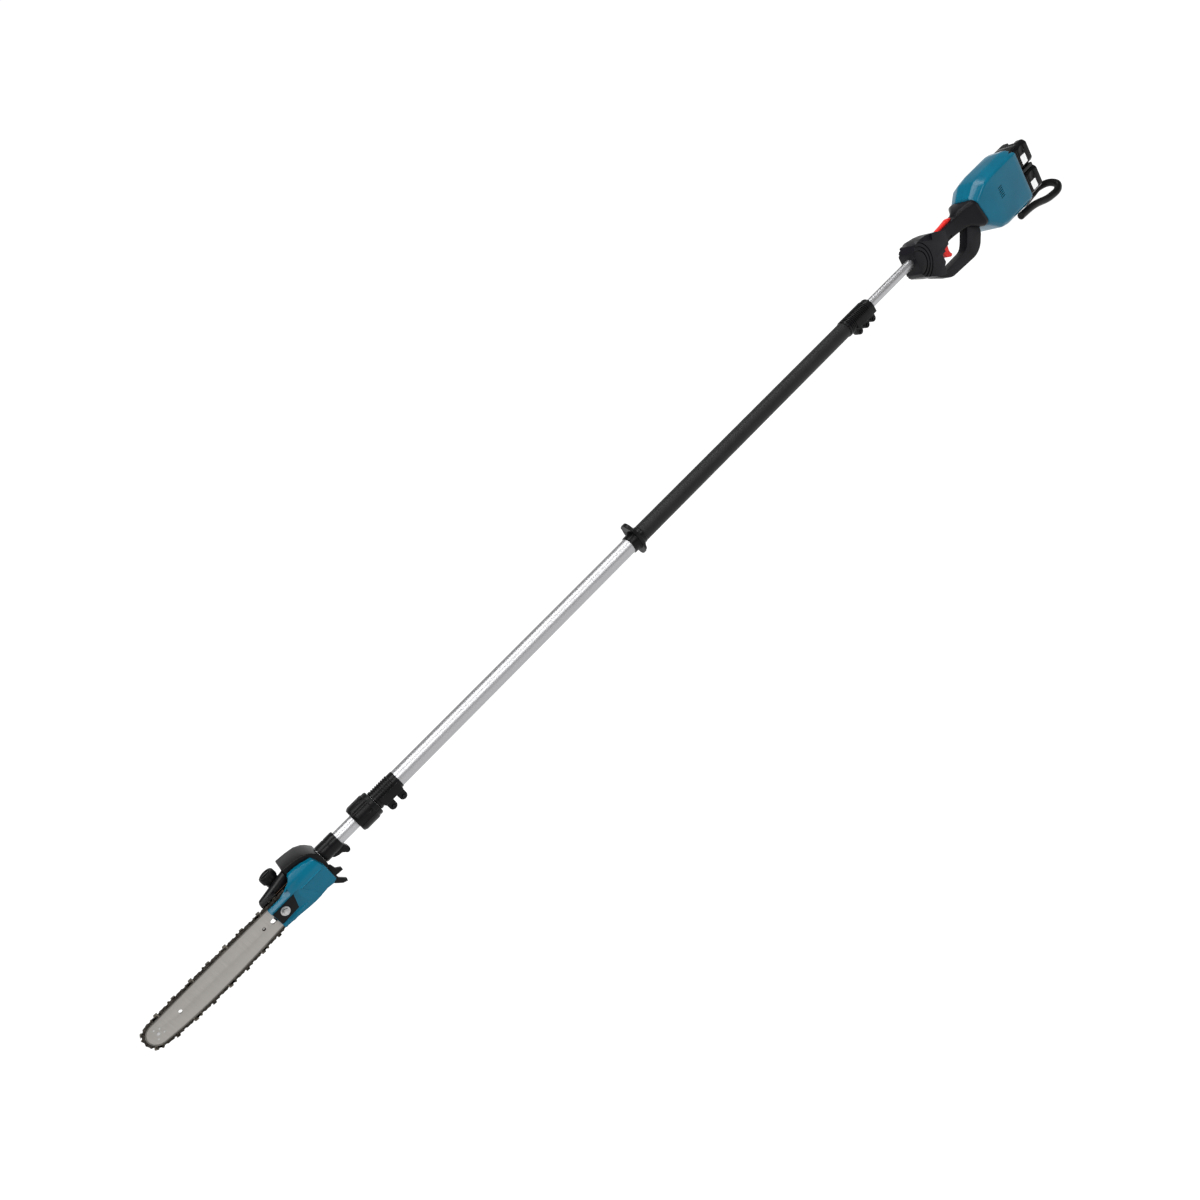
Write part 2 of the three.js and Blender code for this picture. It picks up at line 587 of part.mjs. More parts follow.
function handleBody() {
  const front = solid(sidePlate(outline([
    [1766, -22], [1767, 23], [1783, 36], [1806, 37], [1829, 33], [1857, 23], [1884, 9],
    [1878, -30], [1851, -58], [1846, -80], [1806, -66], [1769, -42], [1764, -30],
  ]), -25, 25, 7));
  const grip = solid(sidePlate(outline([
    [1840, -14], [1858, 14], [1880, 9], [1975, 9], [1975, -33],
    [1910, -25], [1890, -25], [1890, -31], [1866, -31],
  ]), -16, 16, 6));
  const loop = outline([
    [1800, -60], [1845, -60], [1858, -74], [1930, -76], [1942, -67], [1966, -33.5], [1966, -20],
    [1999, -20], [2002, -67], [1979, -96], [1955, -106], [1855, -101], [1812, -72],
  ]);
  const frame = solid(sidePlate(loop, -12, 12, 4));
  const neck = solid(loft([
    roundedSection(1950, 0, -10, 15, 20, 10),
    roundedSection(1968, -0.2, -11, 20, 27, 12),
    roundedSection(1993, -0.2, -19, 41, 38.5, 16),
    roundedSection(2002, -0.2, -19, 41, 38.5, 16),
  ]));
  return joined(front, grip, frame, neck);
}

function handleCuts() {
  return [
    solid(ring(REAR_PIPE.outer + GAP, 0, 1700, REAR_PIPE.rear + 1, 24)),
    solid(ring(6.5, 0, 1790, 2040, ROUND_INNER)),
    solid(block(1894, 1936, -10, 10, -21, -7)), // switch room
    solid(block(1863, 1897, -7.2, 7.2, -47, -8)), // trigger slot
    solid(block(1870, 1937, -7.2, 7.2, 1, 30)), // lever slot
    solid(block(1860, 1906, -40, -12, -72, -14)), // room for the finger, near side
    solid(block(1860, 1906, 12, 40, -72, -14)), // room for the finger, far side
  ];
}

function trigger() {
  return sidePlate(outline([
    [1868, -12], [1884, -12], [1891, -30], [1888, -46], [1893, -58], [1886, -62], [1872, -55], [1867, -40],
  ]), -6.8, 6.8, 1.5, 1);
}

function lockOffLever() {
  return sidePlate(outline([
    [1873, 8], [1880, 13], [1926, 16.5], [1934, 14.5], [1934, 9.6], [1926, 8.6], [1890, 8.2], [1880, 7.6],
  ]), -6.8, 6.8, 1.2, 1);
}

function rearHandle() {
  const body = without(handleBody(), ...handleCuts());
  add('grip_shell_left', leftHalf(body), blackPlastic);
  add('grip_shell_right', rightHalf(body), blackPlastic);
  add('trigger', trigger(), redPlastic);
  add('lock_off_lever', lockOffLever(), redPlastic);
  add('trigger_switch', block(1898, 1934, -9.6, 9.6, -20.4, -7.6), greyPlastic);
}

// ---------------------------------------------------------------- motor housing
// The housing's section: an upright box with sloping shoulders and a chamfered keel.
function housingSection(x, slope, top, bottom, halfWidth, shoulder) {
  const [flat, drop, keel] = [halfWidth * 0.46, shoulder, shoulder * 0.8];
  const section = [
    [flat, top], [-flat, top], [-halfWidth, top - drop], [-halfWidth, bottom + keel],
    [-(halfWidth - keel), bottom], [halfWidth - keel, bottom],
    [halfWidth, bottom + keel], [halfWidth, top - drop],
  ];
  return section.map(([y, z]) => [x + slope * (z - HOUSING.middle), y, z]);
}

function housingShape(grow) {
  return loft([
    housingSection(2003, -0.2, 22 + grow, -61 - grow, 42 + grow, 14),
    housingSection(2036, -0.1, 46 + grow, -91 - grow, 48 + grow, 15),
    housingSection(2064, 0, 50 + grow, -95 - grow, HOUSING.halfWidth + grow, 14),
    housingSection(2150, 0, 50 + grow, -95 - grow, HOUSING.halfWidth + grow, 14),
    housingSection(HOUSING.rear, 0, 47 + grow, -94 - grow, 48 + grow, 13),
  ]);
}

function housingBody() {
  const outer = solid(housingShape(0));
  const inner = solid(housingShape(-HOUSING.wall));
  const noseBlock = solid(block(1900, 2012, -60, 60, -110, 60));
  const frontWall = solid(block(1950, 2030, -60, 60, -100, 60))
    .intersect(solid(housingShape(-HOUSING.wall).translate(4, 0, 0)));
  const shaftHole = solid(ring(9, 0, 1900, 2030, ROUND_INNER));
  const vents = [];
  for (let i = 0; i < VENTS.count; i += 1) {
    const z = VENTS.lowest + i * VENTS.pitch;
    vents.push(solid(block(VENTS.front, VENTS.rear, -60, 60, z, z + VENTS.height)));
  }
  const shell = outer.subtract(inner.subtract(noseBlock)).add(frontWall.subtract(inner));
  return without(shell, shaftHole, ...vents);
}

function motor() {
  add('motor_stator', ring(MOTOR.outer, MOTOR.bore, MOTOR.front, MOTOR.rear, 24), copper);
  add('motor_rotor', ring(MOTOR.rotor, REAR_SHAFT.corner + GAP, MOTOR.front - 3, MOTOR.rear + 3, 20), steel);
  const hub = turned([[4.3, 2020], [11, 2020], [11, 2032], [4.3, 2032]], 20);
  const blades = [0, 1, 2, 3, 4, 5, 6].map((i) =>
    solid(block(2021, 2031, -1, 1, 9, 29).rotateX((i * 2 * Math.PI) / 7)));
  add('cooling_fan', joined(solid(hub), ...blades), greyPlastic);
  add('front_bearing', ring(11, REAR_SHAFT.corner + GAP, 2013.5, 2019, 20), steel);
  add('rear_bearing', ring(11, REAR_SHAFT.corner + GAP, 2081, 2088, 20), steel);
  add('motor_controller', block(2053, 2094, -34, 34, -84, -50), greyPlastic);
}

function batteryPack(bottom) {
  const top = bottom + PACK.height;
  const { halfWidth, chamfer } = PACK;
  const section = outline([
    [chamfer - halfWidth, bottom], [halfWidth - chamfer, bottom], [halfWidth, bottom + chamfer],
    [halfWidth, top - chamfer], [halfWidth - chamfer, top], [chamfer - halfWidth, top],
    [-halfWidth, top - chamfer], [-halfWidth, bottom + chamfer],
  ]);
  const body = solid(crossPlate(section, PACK.front, PACK.rear, PACK.edge));
  const pocket = block(
    PACK.rear - BUTTON.length - 1.5, PACK.rear + 5, -BUTTON.halfWidth - GAP, BUTTON.halfWidth + GAP,
    top - BUTTON.drop - BUTTON.height - BUTTON.travel - 2 * GAP, top + 5,
  );
  return body.subtract(solid(pocket));
}

function releaseButton(bottom) {
  const top = bottom + PACK.height - BUTTON.drop;
  const [front, rear] = [PACK.rear - BUTTON.length, PACK.rear - 2 * GAP];
  const shape = outline([
    [front, top - BUTTON.height], [rear, top - BUTTON.height], [rear, top - 3], [rear - 5.4, top + 1],
    [front, top + 1],
  ]);
  return sidePlate(shape, -BUTTON.halfWidth, BUTTON.halfWidth);
}

function rearHoop() {
  const { halfWidth, rear } = HOOP;
  const arm = (sign) => [
    [2112, sign * halfWidth, -105], [2165, sign * halfWidth, -109.5], [2236, sign * halfWidth, -128],
    [2270, sign * halfWidth, -126], [rear - 2, sign * (halfWidth - 12), -117],
  ];
  const points = [...arm(-1), ...arm(1).reverse()].map((point) => new THREE.Vector3(...point));
  const path = new THREE.CatmullRomCurve3(points, false, 'centripetal');
  const section = new THREE.Shape();
  section.absarc(0, 0, HOOP.radius, 0, 2 * Math.PI, false);
  const settings = { steps: 26, extrudePath: path, curveSegments: 5, bevelEnabled: false };
  return new THREE.ExtrudeGeometry(section, settings);
}

function powerHead() {
  const housing = housingBody();
  add('housing_left', leftHalf(housing), tealPlastic);
  add('housing_right', rightHalf(housing), tealPlastic);
  motor();
  add('battery_dock', block(2099, 2109, -34, 34, -86, 36), blackPlastic);
  for (const [place, bottom] of Object.entries(PACK_BOTTOMS)) {
    add(`battery_${place}`, batteryPack(bottom), blackPlastic);
    add(`release_button_${place}`, releaseButton(bottom), greyPlastic);
  }
  add('rear_hoop', rearHoop(), blackPlastic);
}

// ---------------------------------------------------------------- assembly
barAndChain();
sawHead();
driveLine();
pole();
rearHandle();
powerHead();

const extent = new THREE.Box3().setFromObject(saw);
const middle = extent.getCenter(new THREE.Vector3());
saw.position.set(-middle.x, -middle.y, -extent.min.z);

const poleSaw = new THREE.Group();
poleSaw.add(saw);
export default poleSaw;
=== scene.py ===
"""Looks of a telescoping pole saw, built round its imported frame.

Every piece is drawn in millimetres from the pole's datum: X runs along the pole from the telescope's
front collar towards the batteries, Y across it, Z up, and the pole's axis is Y = Z = 0. The side with
the sprocket cover is -Y. A finished piece is brought to the frame's metres in one step.
"""

import logging
import math
from collections.abc import Callable, Iterator, Sequence
from contextlib import contextmanager
from dataclasses import dataclass, field
from enum import Enum

import bmesh
import bpy
from mathutils import Matrix, Vector


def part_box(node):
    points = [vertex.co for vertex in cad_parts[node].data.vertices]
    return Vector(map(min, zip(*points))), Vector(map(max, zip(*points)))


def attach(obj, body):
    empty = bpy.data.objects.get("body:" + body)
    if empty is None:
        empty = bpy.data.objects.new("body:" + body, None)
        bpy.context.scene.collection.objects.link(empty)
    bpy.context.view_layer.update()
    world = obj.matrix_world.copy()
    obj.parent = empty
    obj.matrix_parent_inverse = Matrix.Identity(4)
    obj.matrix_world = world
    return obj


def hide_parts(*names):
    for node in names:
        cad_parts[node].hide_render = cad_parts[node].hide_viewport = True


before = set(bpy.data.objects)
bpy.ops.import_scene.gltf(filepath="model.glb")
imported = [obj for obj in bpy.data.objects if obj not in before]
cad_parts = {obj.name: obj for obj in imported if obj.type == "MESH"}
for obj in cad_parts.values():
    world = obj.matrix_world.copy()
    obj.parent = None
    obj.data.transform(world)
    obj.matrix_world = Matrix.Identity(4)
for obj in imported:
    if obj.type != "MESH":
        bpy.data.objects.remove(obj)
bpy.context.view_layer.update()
LOG = logging.getLogger("pole_saw")

MM = 0.001
OUTER_TUBE_FRONT = -6.0  # where the outer tube starts, from the datum
FULL_TURN = math.tau
TOUCH = 0.02  # points closer than this are one point
Point = tuple[float, ...]
Test = Callable[[Vector], bool]


class Axis(Enum):
    """The three directions a piece can be turned about."""

    X = (1.0, 0.0, 0.0)
    Y = (0.0, 1.0, 0.0)
    Z = (0.0, 0.0, 1.0)


class Plane(Enum):
    """The plane that an outline is drawn in, named by how the saw is looked at."""

    SIDE = "side"  # outline in X and Z, depth along Y
    CROSS = "cross"  # outline in Y and Z, depth along X
    TOP = "top"  # outline in X and Y, depth along Z

    def point(self, u: float, v: float, depth: float) -> Vector:
        """Returns the point of the plane at (u, v) and a depth across it."""
        places = {Plane.SIDE: (u, depth, v), Plane.CROSS: (depth, u, v), Plane.TOP: (u, v, depth)}
        return Vector(places[self])


def touches(points: Sequence[Vector]) -> Test:
    """Returns a test of whether a place is one of the points."""
    return lambda place: any((place - point).length < TOUCH for point in points)


def arc(centre: Point, radius: float, start: float, end: float, count: int) -> list[Point]:
    """Points on a circle.

    Args:
        centre: The circle's centre in the drawing plane.
        radius: Its radius.
        start: First angle in degrees, from the plane's first axis.
        end: Last angle in degrees.
        count: How many points.

    Returns:
        The points, the first at the start angle and the last at the end angle.
    """
    angles = [math.radians(start + (end - start) * i / (count - 1)) for i in range(count)]
    return [(centre[0] + radius * math.cos(a), centre[1] + radius * math.sin(a)) for a in angles]


def sweep(start: Point, pull: Point, end: Point, count: int) -> list[Point]:
    """Points on a quadratic curve that leaves start towards pull and reaches end from there.

    Args:
        start: First point.
        pull: The point that pulls the curve.
        end: Last point.
        count: How many points.

    Returns:
        The points, with both ends among them.
    """
    made = []
    for i in range(count):
        t = i / (count - 1)
        weights = ((1 - t) ** 2, 2 * t * (1 - t), t * t)
        made.append(tuple(sum(w * p[k] for w, p in zip(weights, (start, pull, end))) for k in range(2)))
    return made


def rounded_box(half_width: float, bottom: float, top: float, corner: float, steps: int = 5) -> list[Point]:
    """A box outline with round corners, centred on the first axis.

    Args:
        half_width: Half of its width.
        bottom: Its lowest value on the second axis.
        top: Its highest value.
        corner: Radius of the corners.
        steps: Points on each corner.

    Returns:
        The outline, counted from its right side.
    """
    inner = half_width - corner
    high, low = top - corner, bottom + corner
    centres = ((inner, high), (-inner, high), (-inner, low), (inner, low))
    outline: list[Point] = []
    for quarter, centre in enumerate(centres):
        outline += arc(centre, corner, 90 * quarter, 90 * quarter + 90, steps)
    return outline


# ---------------------------------------------------------------- the bench
class Workpiece:
    """One piece of the saw on the bench: a mesh in millimetres that is shaped in edit mode."""

    def __init__(self, item: bpy.types.Object, name: str) -> None:
        """Takes a new object, names it and lays its place into its mesh.

        Args:
            item: The new object.
            name: The piece's name.
        """
        self.item = item
        item.name = name
        item.data.name = name
        self.hold()
        bpy.ops.object.transform_apply(location=True, rotation=True, scale=True)

    # ---- starting shapes
    @classmethod
    def block(cls, name: str, low: Point, high: Point) -> "Workpiece":
        """A box between two corners.

        Args:
            name: The piece's name.
            low: Its lowest corner.
            high: Its highest corner.

        Returns:
            The box as a workpiece.
        """
        low, high = Vector(low), Vector(high)
        deselect()
        bpy.ops.mesh.primitive_cube_add(size=1.0, location=(low + high) / 2, scale=high - low)
        return cls(bpy.context.active_object, name)

    @classmethod
    def rod(cls, name: str, radius: float, start: Point, end: Point, sides: int = 32) -> "Workpiece":
        """A round rod between two points.

        Args:
            name: The piece's name.
            radius: The rod's radius.
            start: The middle of one end.
            end: The middle of the other end.
            sides: How many sides its round has.

        Returns:
            The rod as a workpiece.
        """
        start, end = Vector(start), Vector(end)
        along = end - start
        deselect()
        bpy.ops.mesh.primitive_cylinder_add(
            vertices=sides, radius=radius, depth=along.length, location=(start + end) / 2,
            rotation=along.to_track_quat("Z", "Y").to_euler(),
        )
        return cls(bpy.context.active_object, name)

    @classmethod
    def loop(cls, name: str, points: Sequence[Vector], filled: bool = False) -> "Workpiece":
        """A closed line drawn by extruding one vertex from point to point.

        Args:
            name: The piece's name.
            points: The points, in order.
            filled: Whether the loop gets a face.

        Returns:
            The loop as a workpiece.
        """
        deselect()
        bpy.ops.mesh.primitive_plane_add(size=1.0, location=(0, 0, 0))
        piece = cls(bpy.context.active_object, name)
        with piece.editing():
            bpy.ops.mesh.select_all(action="SELECT")
            bpy.ops.mesh.merge(type="CENTER")
            bpy.ops.transform.translate(value=points[0])
            for here, there in zip(points, points[1:]):
                bpy.ops.mesh.extrude_region_move(TRANSFORM_OT_translate={"value": there - here})
            piece.pick(touches((points[0], points[-1])))
            bpy.ops.mesh.edge_face_add()
            if filled:
                bpy.ops.mesh.select_all(action="SELECT")
                bpy.ops.mesh.edge_face_add()
        return piece

    @classmethod
    def plate(cls, name: str, outline: Sequence[Point], near: float, far: float,
              plane: Plane = Plane.SIDE, steps: int = 5) -> "Workpiece":
        """A flat plate with the given outline.

        Args:
            name: The piece's name.
            outline: Corners (u, v), or (u, v, radius) where a corner is rounded.
            near: Depth of the first face across the plane.
            far: Depth of the second face.
            plane: The plane that the outline lies in.
            steps: Edges on each rounded corner.

        Returns:
            The plate as a workpiece.
        """
        corners = [plane.point(p[0], p[1], near) for p in outline]
        piece = cls.loop(name, corners, filled=True)
        radii = {p[2] for p in outline if len(p) > 2}
        for radius in radii:
            chosen = [c for c, p in zip(corners, outline) if len(p) > 2 and p[2] == radius]
            with piece.editing():
                piece.pick(touches(chosen))
                bpy.ops.mesh.bevel(offset=radius, segments=steps, affect="VERTICES")
        with piece.editing():
            bpy.ops.mesh.select_all(action="SELECT")
            bpy.ops.mesh.extrude_region_move(
                TRANSFORM_OT_translate={"value": plane.point(0, 0, far) - plane.point(0, 0, near)}
            )
        piece.face_outwards()
        return piece

    @classmethod
    def turned(cls, name: str, profile: Sequence[Point], axis: Axis = Axis.X,
               centre: Point = (0.0, 0.0, 0.0), steps: int = 64) -> "Workpiece":
        """A turned piece: a closed profile spun once about an axis.

        Args:
            name: The piece's name.
            profile: Points (radius, distance along the axis), in order round the profile.
            axis: The direction of the axis.
            centre: A point on the axis.
            steps: Sides of the turned piece.

        Returns:
            The turned piece as a workpiece.
        """
        out = {Axis.X: Vector((0, 0, 1)), Axis.Y: Vector((0, 0, 1)), Axis.Z: Vector((1, 0, 0))}[axis]
        along = Vector(axis.value)
        points = [Vector(centre) + along * p[1] + out * p[0] for p in profile]
        piece = cls.loop(name, points)
        with piece.editing():
            bpy.ops.mesh.select_all(action="SELECT")
            bpy.ops.mesh.spin(steps=steps, angle=FULL_TURN, center=centre, axis=axis.value)
            bpy.ops.mesh.select_all(action="SELECT")
            bpy.ops.mesh.remove_doubles(threshold=1e-3)
            bpy.ops.mesh.dissolve_degenerate(threshold=1e-4)
        piece.face_outwards()
        return piece

    @classmethod
    def lofted(cls, name: str, rings: Sequence[Sequence[Vector]]) -> "Workpiece":
        """A closed skin over loops that all have the same number of points.

        Args:
            name: The piece's name.
            rings: The loops, from one end to the other.

        Returns:
            The skin as a workpiece, with a face at each end.
        """
        pieces = [cls.loop(f"{name}_ring", ring) for ring in rings]
        piece = pieces[0].gather(*pieces[1:])
        piece.item.name = name
        with piece.editing():
            for first, second in zip(rings, rings[1:]):
                piece.pick(touches([*first, *second]))
                bpy.ops.mesh.bridge_edge_loops()
            for ring in (rings[0], rings[-1]):
                piece.pick(touches(ring))
                bpy.ops.mesh.edge_face_add()
        piece.face_outwards()
        return piece

    @classmethod
    def bent_bar(cls, name: str, path: Sequence[Point], radius: float) -> "Workpiece":
        """A round bar bent along a smooth path, with closed ends.

        Args:
            name: The piece's name.
            path: Points that the bar's middle line passes through.
            radius: The bar's radius.

        Returns:
            The bar as a workpiece.
        """
        deselect()
        bpy.ops.curve.primitive_bezier_curve_add(location=(0, 0, 0))
        item = bpy.context.active_object
        line = item.data
        line.dimensions = "3D"
        line.bevel_depth = radius
        line.bevel_resolution = 6
        line.resolution_u = 10
        line.use_fill_caps = True
        spline = line.splines[0]
        spline.bezier_points.add(len(path) - len(spline.bezier_points))
        for knot, place in zip(spline.bezier_points, path):
            knot.co = place
            knot.handle_left_type = knot.handle_right_type = "AUTO"
        bpy.ops.object.convert(target="MESH")
        piece = cls(bpy.context.active_object, name)
        with piece.editing():
            bpy.ops.mesh.select_all(action="SELECT")
            bpy.ops.mesh.remove_doubles(threshold=1e-3)
        piece.face_outwards()
        return piece

    # ---- holding and picking
    def hold(self) -> None:
        """Selects only this piece and makes it the active one."""
        deselect()
        self.item.select_set(True)
        bpy.context.view_layer.objects.active = self.item

    @contextmanager
    def editing(self) -> Iterator[None]:
        """Opens the piece in edit mode with nothing selected, and closes it again.

        Returns:
            Nothing that is used: the piece is open inside the with block.
        """
        self.hold()
        bpy.ops.object.mode_set(mode="EDIT")
        bpy.ops.mesh.select_mode(type="VERT")
        bpy.ops.mesh.select_all(action="DESELECT")
        try:
            yield
        finally:
            bpy.ops.object.mode_set(mode="OBJECT")

    def pick(self, test: Test) -> None:
        """Selects the points whose place passes a test, and nothing else.

        Args:
            test: Takes a place and says whether the point there is wanted.
        """
        bpy.ops.mesh.select_mode(type="VERT")
        bpy.ops.mesh.select_all(action="DESELECT")
        mesh = bmesh.from_edit_mesh(self.item.data)
        for vert in mesh.verts:
            vert.select = test(vert.co)
        mesh.select_flush_mode()
        bmesh.update_edit_mesh(self.item.data)

    # ---- shaping
    def face_outwards(self) -> "Workpiece":
        """Turns every face outwards.

        Returns:
            The piece itself.
        """
        with self.editing():
            bpy.ops.mesh.select_all(action="SELECT")
            bpy.ops.mesh.normals_make_consistent(inside=False)
            if bmesh.from_edit_mesh(self.item.data).calc_volume(signed=True) < 0:
                bpy.ops.mesh.flip_normals()
        return self

    def soften(self, width: float, segments: int = 3, angle: float = 30.0) -> "Workpiece":
        """Rounds every edge sharper than an angle and returns the piece.

        Args:
            width: Width of the rounding.
            segments: Steps across it.
            angle: The angle in degrees from which an edge is rounded.

        Returns:
            The piece itself.
        """
        self.hold()
        bpy.ops.object.modifier_add(type="BEVEL")
        modifier = self.item.modifiers[-1]
        modifier.width = width
        modifier.segments = segments
        modifier.limit_method = "ANGLE"
        modifier.angle_limit = math.radians(angle)
        bpy.ops.object.modifier_apply(modifier=modifier.name)
        return self

    def combine(self, other: "Workpiece", operation: str) -> "Workpiece":
        """Joins another piece to this one, or cuts it away, and uses the other piece up.

        Args:
            other: The second piece.
            operation: UNION, DIFFERENCE or INTERSECT.

        Returns:
            The piece itself.
        """
        self.hold()
        bpy.ops.object.modifier_add(type="BOOLEAN")
        modifier = self.item.modifiers[-1]
        modifier.operation = operation
        modifier.object = other.item
        modifier.solver = "EXACT"
        bpy.ops.object.modifier_apply(modifier=modifier.name)
        other.discard()
        return self

    def cut(self, *tools: "Workpiece") -> "Workpiece":
        """Cuts other pieces out of this one.

        Args:
            tools: What is cut away, used up by the cut.

        Returns:
            The piece itself.
        """
        for tool in tools:
            self.combine(tool, "DIFFERENCE")
        return self

    def weld(self, *others: "Workpiece") -> "Workpiece":
        """Joins other pieces to this one as one body.

        Args:
            others: What is joined, used up by the weld.

        Returns:
            The piece itself.
        """
        for other in others:
            self.combine(other, "UNION")
        return self

    def gather(self, *others: "Workpiece") -> "Workpiece":
        """Puts other meshes into this piece's mesh as they are.

        Args:
            others: The pieces that are taken in.

        Returns:
            The piece itself.
        """
        if others:
            self.hold()
            for other in others:
                other.item.select_set(True)
            bpy.ops.object.join()
        return self

    def copy(self, name: str) -> "Workpiece":
        """Makes a copy with a mesh of its own.

        Args:
            name: The copy's name.

        Returns:
            The copy.
        """
        self.hold()
        bpy.ops.object.duplicate(linked=False)
        return Workpiece(bpy.context.active_object, name)

    def moved(self, change: Matrix) -> "Workpiece":
        """Moves or turns the whole piece.

        Args:
            change: The matrix of the move, in millimetres.

        Returns:
            The piece itself.
        """
        self.hold()
        self.item.matrix_world = change @ self.item.matrix_world
        bpy.ops.object.transform_apply(location=True, rotation=True, scale=True)
        return self

    def mirrored(self, name: str) -> "Workpiece":
        """Makes a copy mirrored across the pole's upright middle plane.

        Args:
            name: The copy's name.

        Returns:
            The mirrored copy.
        """
        twin = self.copy(name)
        twin.moved(Matrix.Diagonal((1, -1, 1, 1)))
        return twin.face_outwards()

    def half(self, name: str, side: int, gap: float = 0.15) -> "Workpiece":
        """One shell of a casing that is split along the upright middle plane.

        Args:
            name: The shell's name.
            side: -1 for the near side, 1 for the far side.
            gap: How far the cut stays from the middle plane.

        Returns:
            The shell, cut from a copy.
        """
        shell = self.copy(name)
        with shell.editing():
            bpy.ops.mesh.select_all(action="SELECT")
            bpy.ops.mesh.bisect(
                plane_co=(0, side * gap, 0), plane_no=(0, side, 0), use_fill=True, clear_inner=True
            )
        return shell.face_outwards()

    def discard(self) -> None:
        """Takes the piece off the bench."""
        bpy.data.objects.remove(self.item, do_unlink=True)

    # ---- handing over
    def finish(self, body: str, finish: "Finish", replaces: Sequence[str] = (),
               smooth: float = 32.0) -> "Workpiece":
        """Brings the piece to its place in the frame, dresses it and hangs it on its body.

        Args:
            body: The body that it moves with.
            finish: Its surface finish.
            replaces: The plain nodes that it stands for.
            smooth: Edges sharper than this many degrees stay crisp.

        Returns:
            The piece itself.
        """
        self.hold()
        self.item.matrix_world = DATUM @ self.item.matrix_world
        bpy.ops.object.transform_apply(location=True, rotation=True, scale=True)
        bpy.ops.object.shade_smooth_by_angle(angle=math.radians(smooth))
        self.item.data.materials.clear()
        self.item.data.materials.append(finish.material())
        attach(self.item, body)
        if replaces:
            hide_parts(*replaces)
        LOG.info("%s rides on %s in %s", self.item.name, body, finish.title)
        return self


def deselect() -> None:
    """Clears the selection of objects."""
    bpy.ops.object.select_all(action="DESELECT")


def datum_matrix() -> Matrix:
    """Finds the pole's datum from the outer tube.

    Returns:
        The matrix from millimetres at the datum to the frame's metres.
    """
    low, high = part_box("outer_tube")
    place = Vector((low.x - OUTER_TUBE_FRONT * MM, (low.y + high.y) / 2, (low.z + high.z) / 2))
    return Matrix.Translation(place) @ Matrix.Scale(MM, 4)


DATUM = datum_matrix()


# ---------------------------------------------------------------- finishes
class Slot(Enum):
    """The record's material slots."""

    BLACK = "black_plastic"
    TEAL = "teal_plastic"
    RED = "red_plastic"
    GREY = "grey_plastic"
    FOAM = "foam"
    TUBE = "silver_tube"
    BAR = "bar_steel"
    CHAIN = "chain_steel"
    STEEL = "steel"
    BRONZE = "bronze"
    COPPER = "copper"


def srgb(code: str) -> tuple[float, float, float, float]:
    """Turns a hex code into the colour that Blender works with.

    Args:
        code: An sRGB hex code such as 1a6e86.

    Returns:
        The linear red, green and blue, with full opacity.
    """
    parts = [int(code[i:i + 2], 16) / 255 for i in (0, 2, 4)]
    linear = [c / 12.92 if c <= 0.04045 else ((c + 0.055) / 1.055) ** 2.4 for c in parts]
    return (linear[0], linear[1], linear[2], 1.0)


def add_node(tree: bpy.types.NodeTree, kind: str, inputs: dict[str | int, object] | None = None,
             **settings: object) -> bpy.types.Node:
    """Adds one node to a material.

    Args:
        tree: The material's node tree.
        kind: The node's type.
        inputs: Values or output sockets for its inputs, by name or number.
        settings: Properties of the node.

    Returns:
        The node.
    """
    node = tree.nodes.new(kind)
    for name, value in settings.items():
        setattr(node, name, value)
    for name, value in (inputs or {}).items():
        if isinstance(value, bpy.types.NodeSocket):
            tree.links.new(value, node.inputs[name])
        else:
            node.inputs[name].default_value = value
    return node


def grain(tree: bpy.types.NodeTree, size: float, detail: float = 2.0,
          stretch: Point = (1.0, 1.0, 1.0)) -> bpy.types.NodeSocket:
    """A noise pattern of a real size.

    Args:
        tree: The material's node tree.
        size: Size of its features in millimetres.
        detail: How many finer layers it has.
        stretch: How many times longer the features are along X, Y and Z.

    Returns:
        The pattern's value, from 0 to 1.
    """
    place = add_node(tree, "ShaderNodeTexCoord").outputs["Object"]
    scale = [1 / s for s in stretch]
    mapped = add_node(tree, "ShaderNodeMapping", {"Vector": place, "Scale": scale}).outputs["Vector"]
    wanted = {"Vector": mapped, "Scale": 1 / (size * MM), "Detail": detail}
    return add_node(tree, "ShaderNodeTexNoise", wanted).outputs[0]


def spread(tree: bpy.types.NodeTree, value: bpy.types.NodeSocket, low: float,
           high: float) -> bpy.types.NodeSocket:
    """Returns a noise value's useful middle brought to the range from low to high."""
    wanted = {"Value": value, "From Min": 0.3, "From Max": 0.7, "To Min": low, "To Max": high}
    return add_node(tree, "ShaderNodeMapRange", wanted).outputs[0]


def bump(tree: bpy.types.NodeTree, height: bpy.types.NodeSocket, depth: float) -> bpy.types.NodeSocket:
    """Returns a normal from a height pattern that is depth millimetres high."""
    wanted = {"Height": height, "Distance": depth * MM, "Strength": 1.0}
    return add_node(tree, "ShaderNodeBump", wanted).outputs["Normal"]


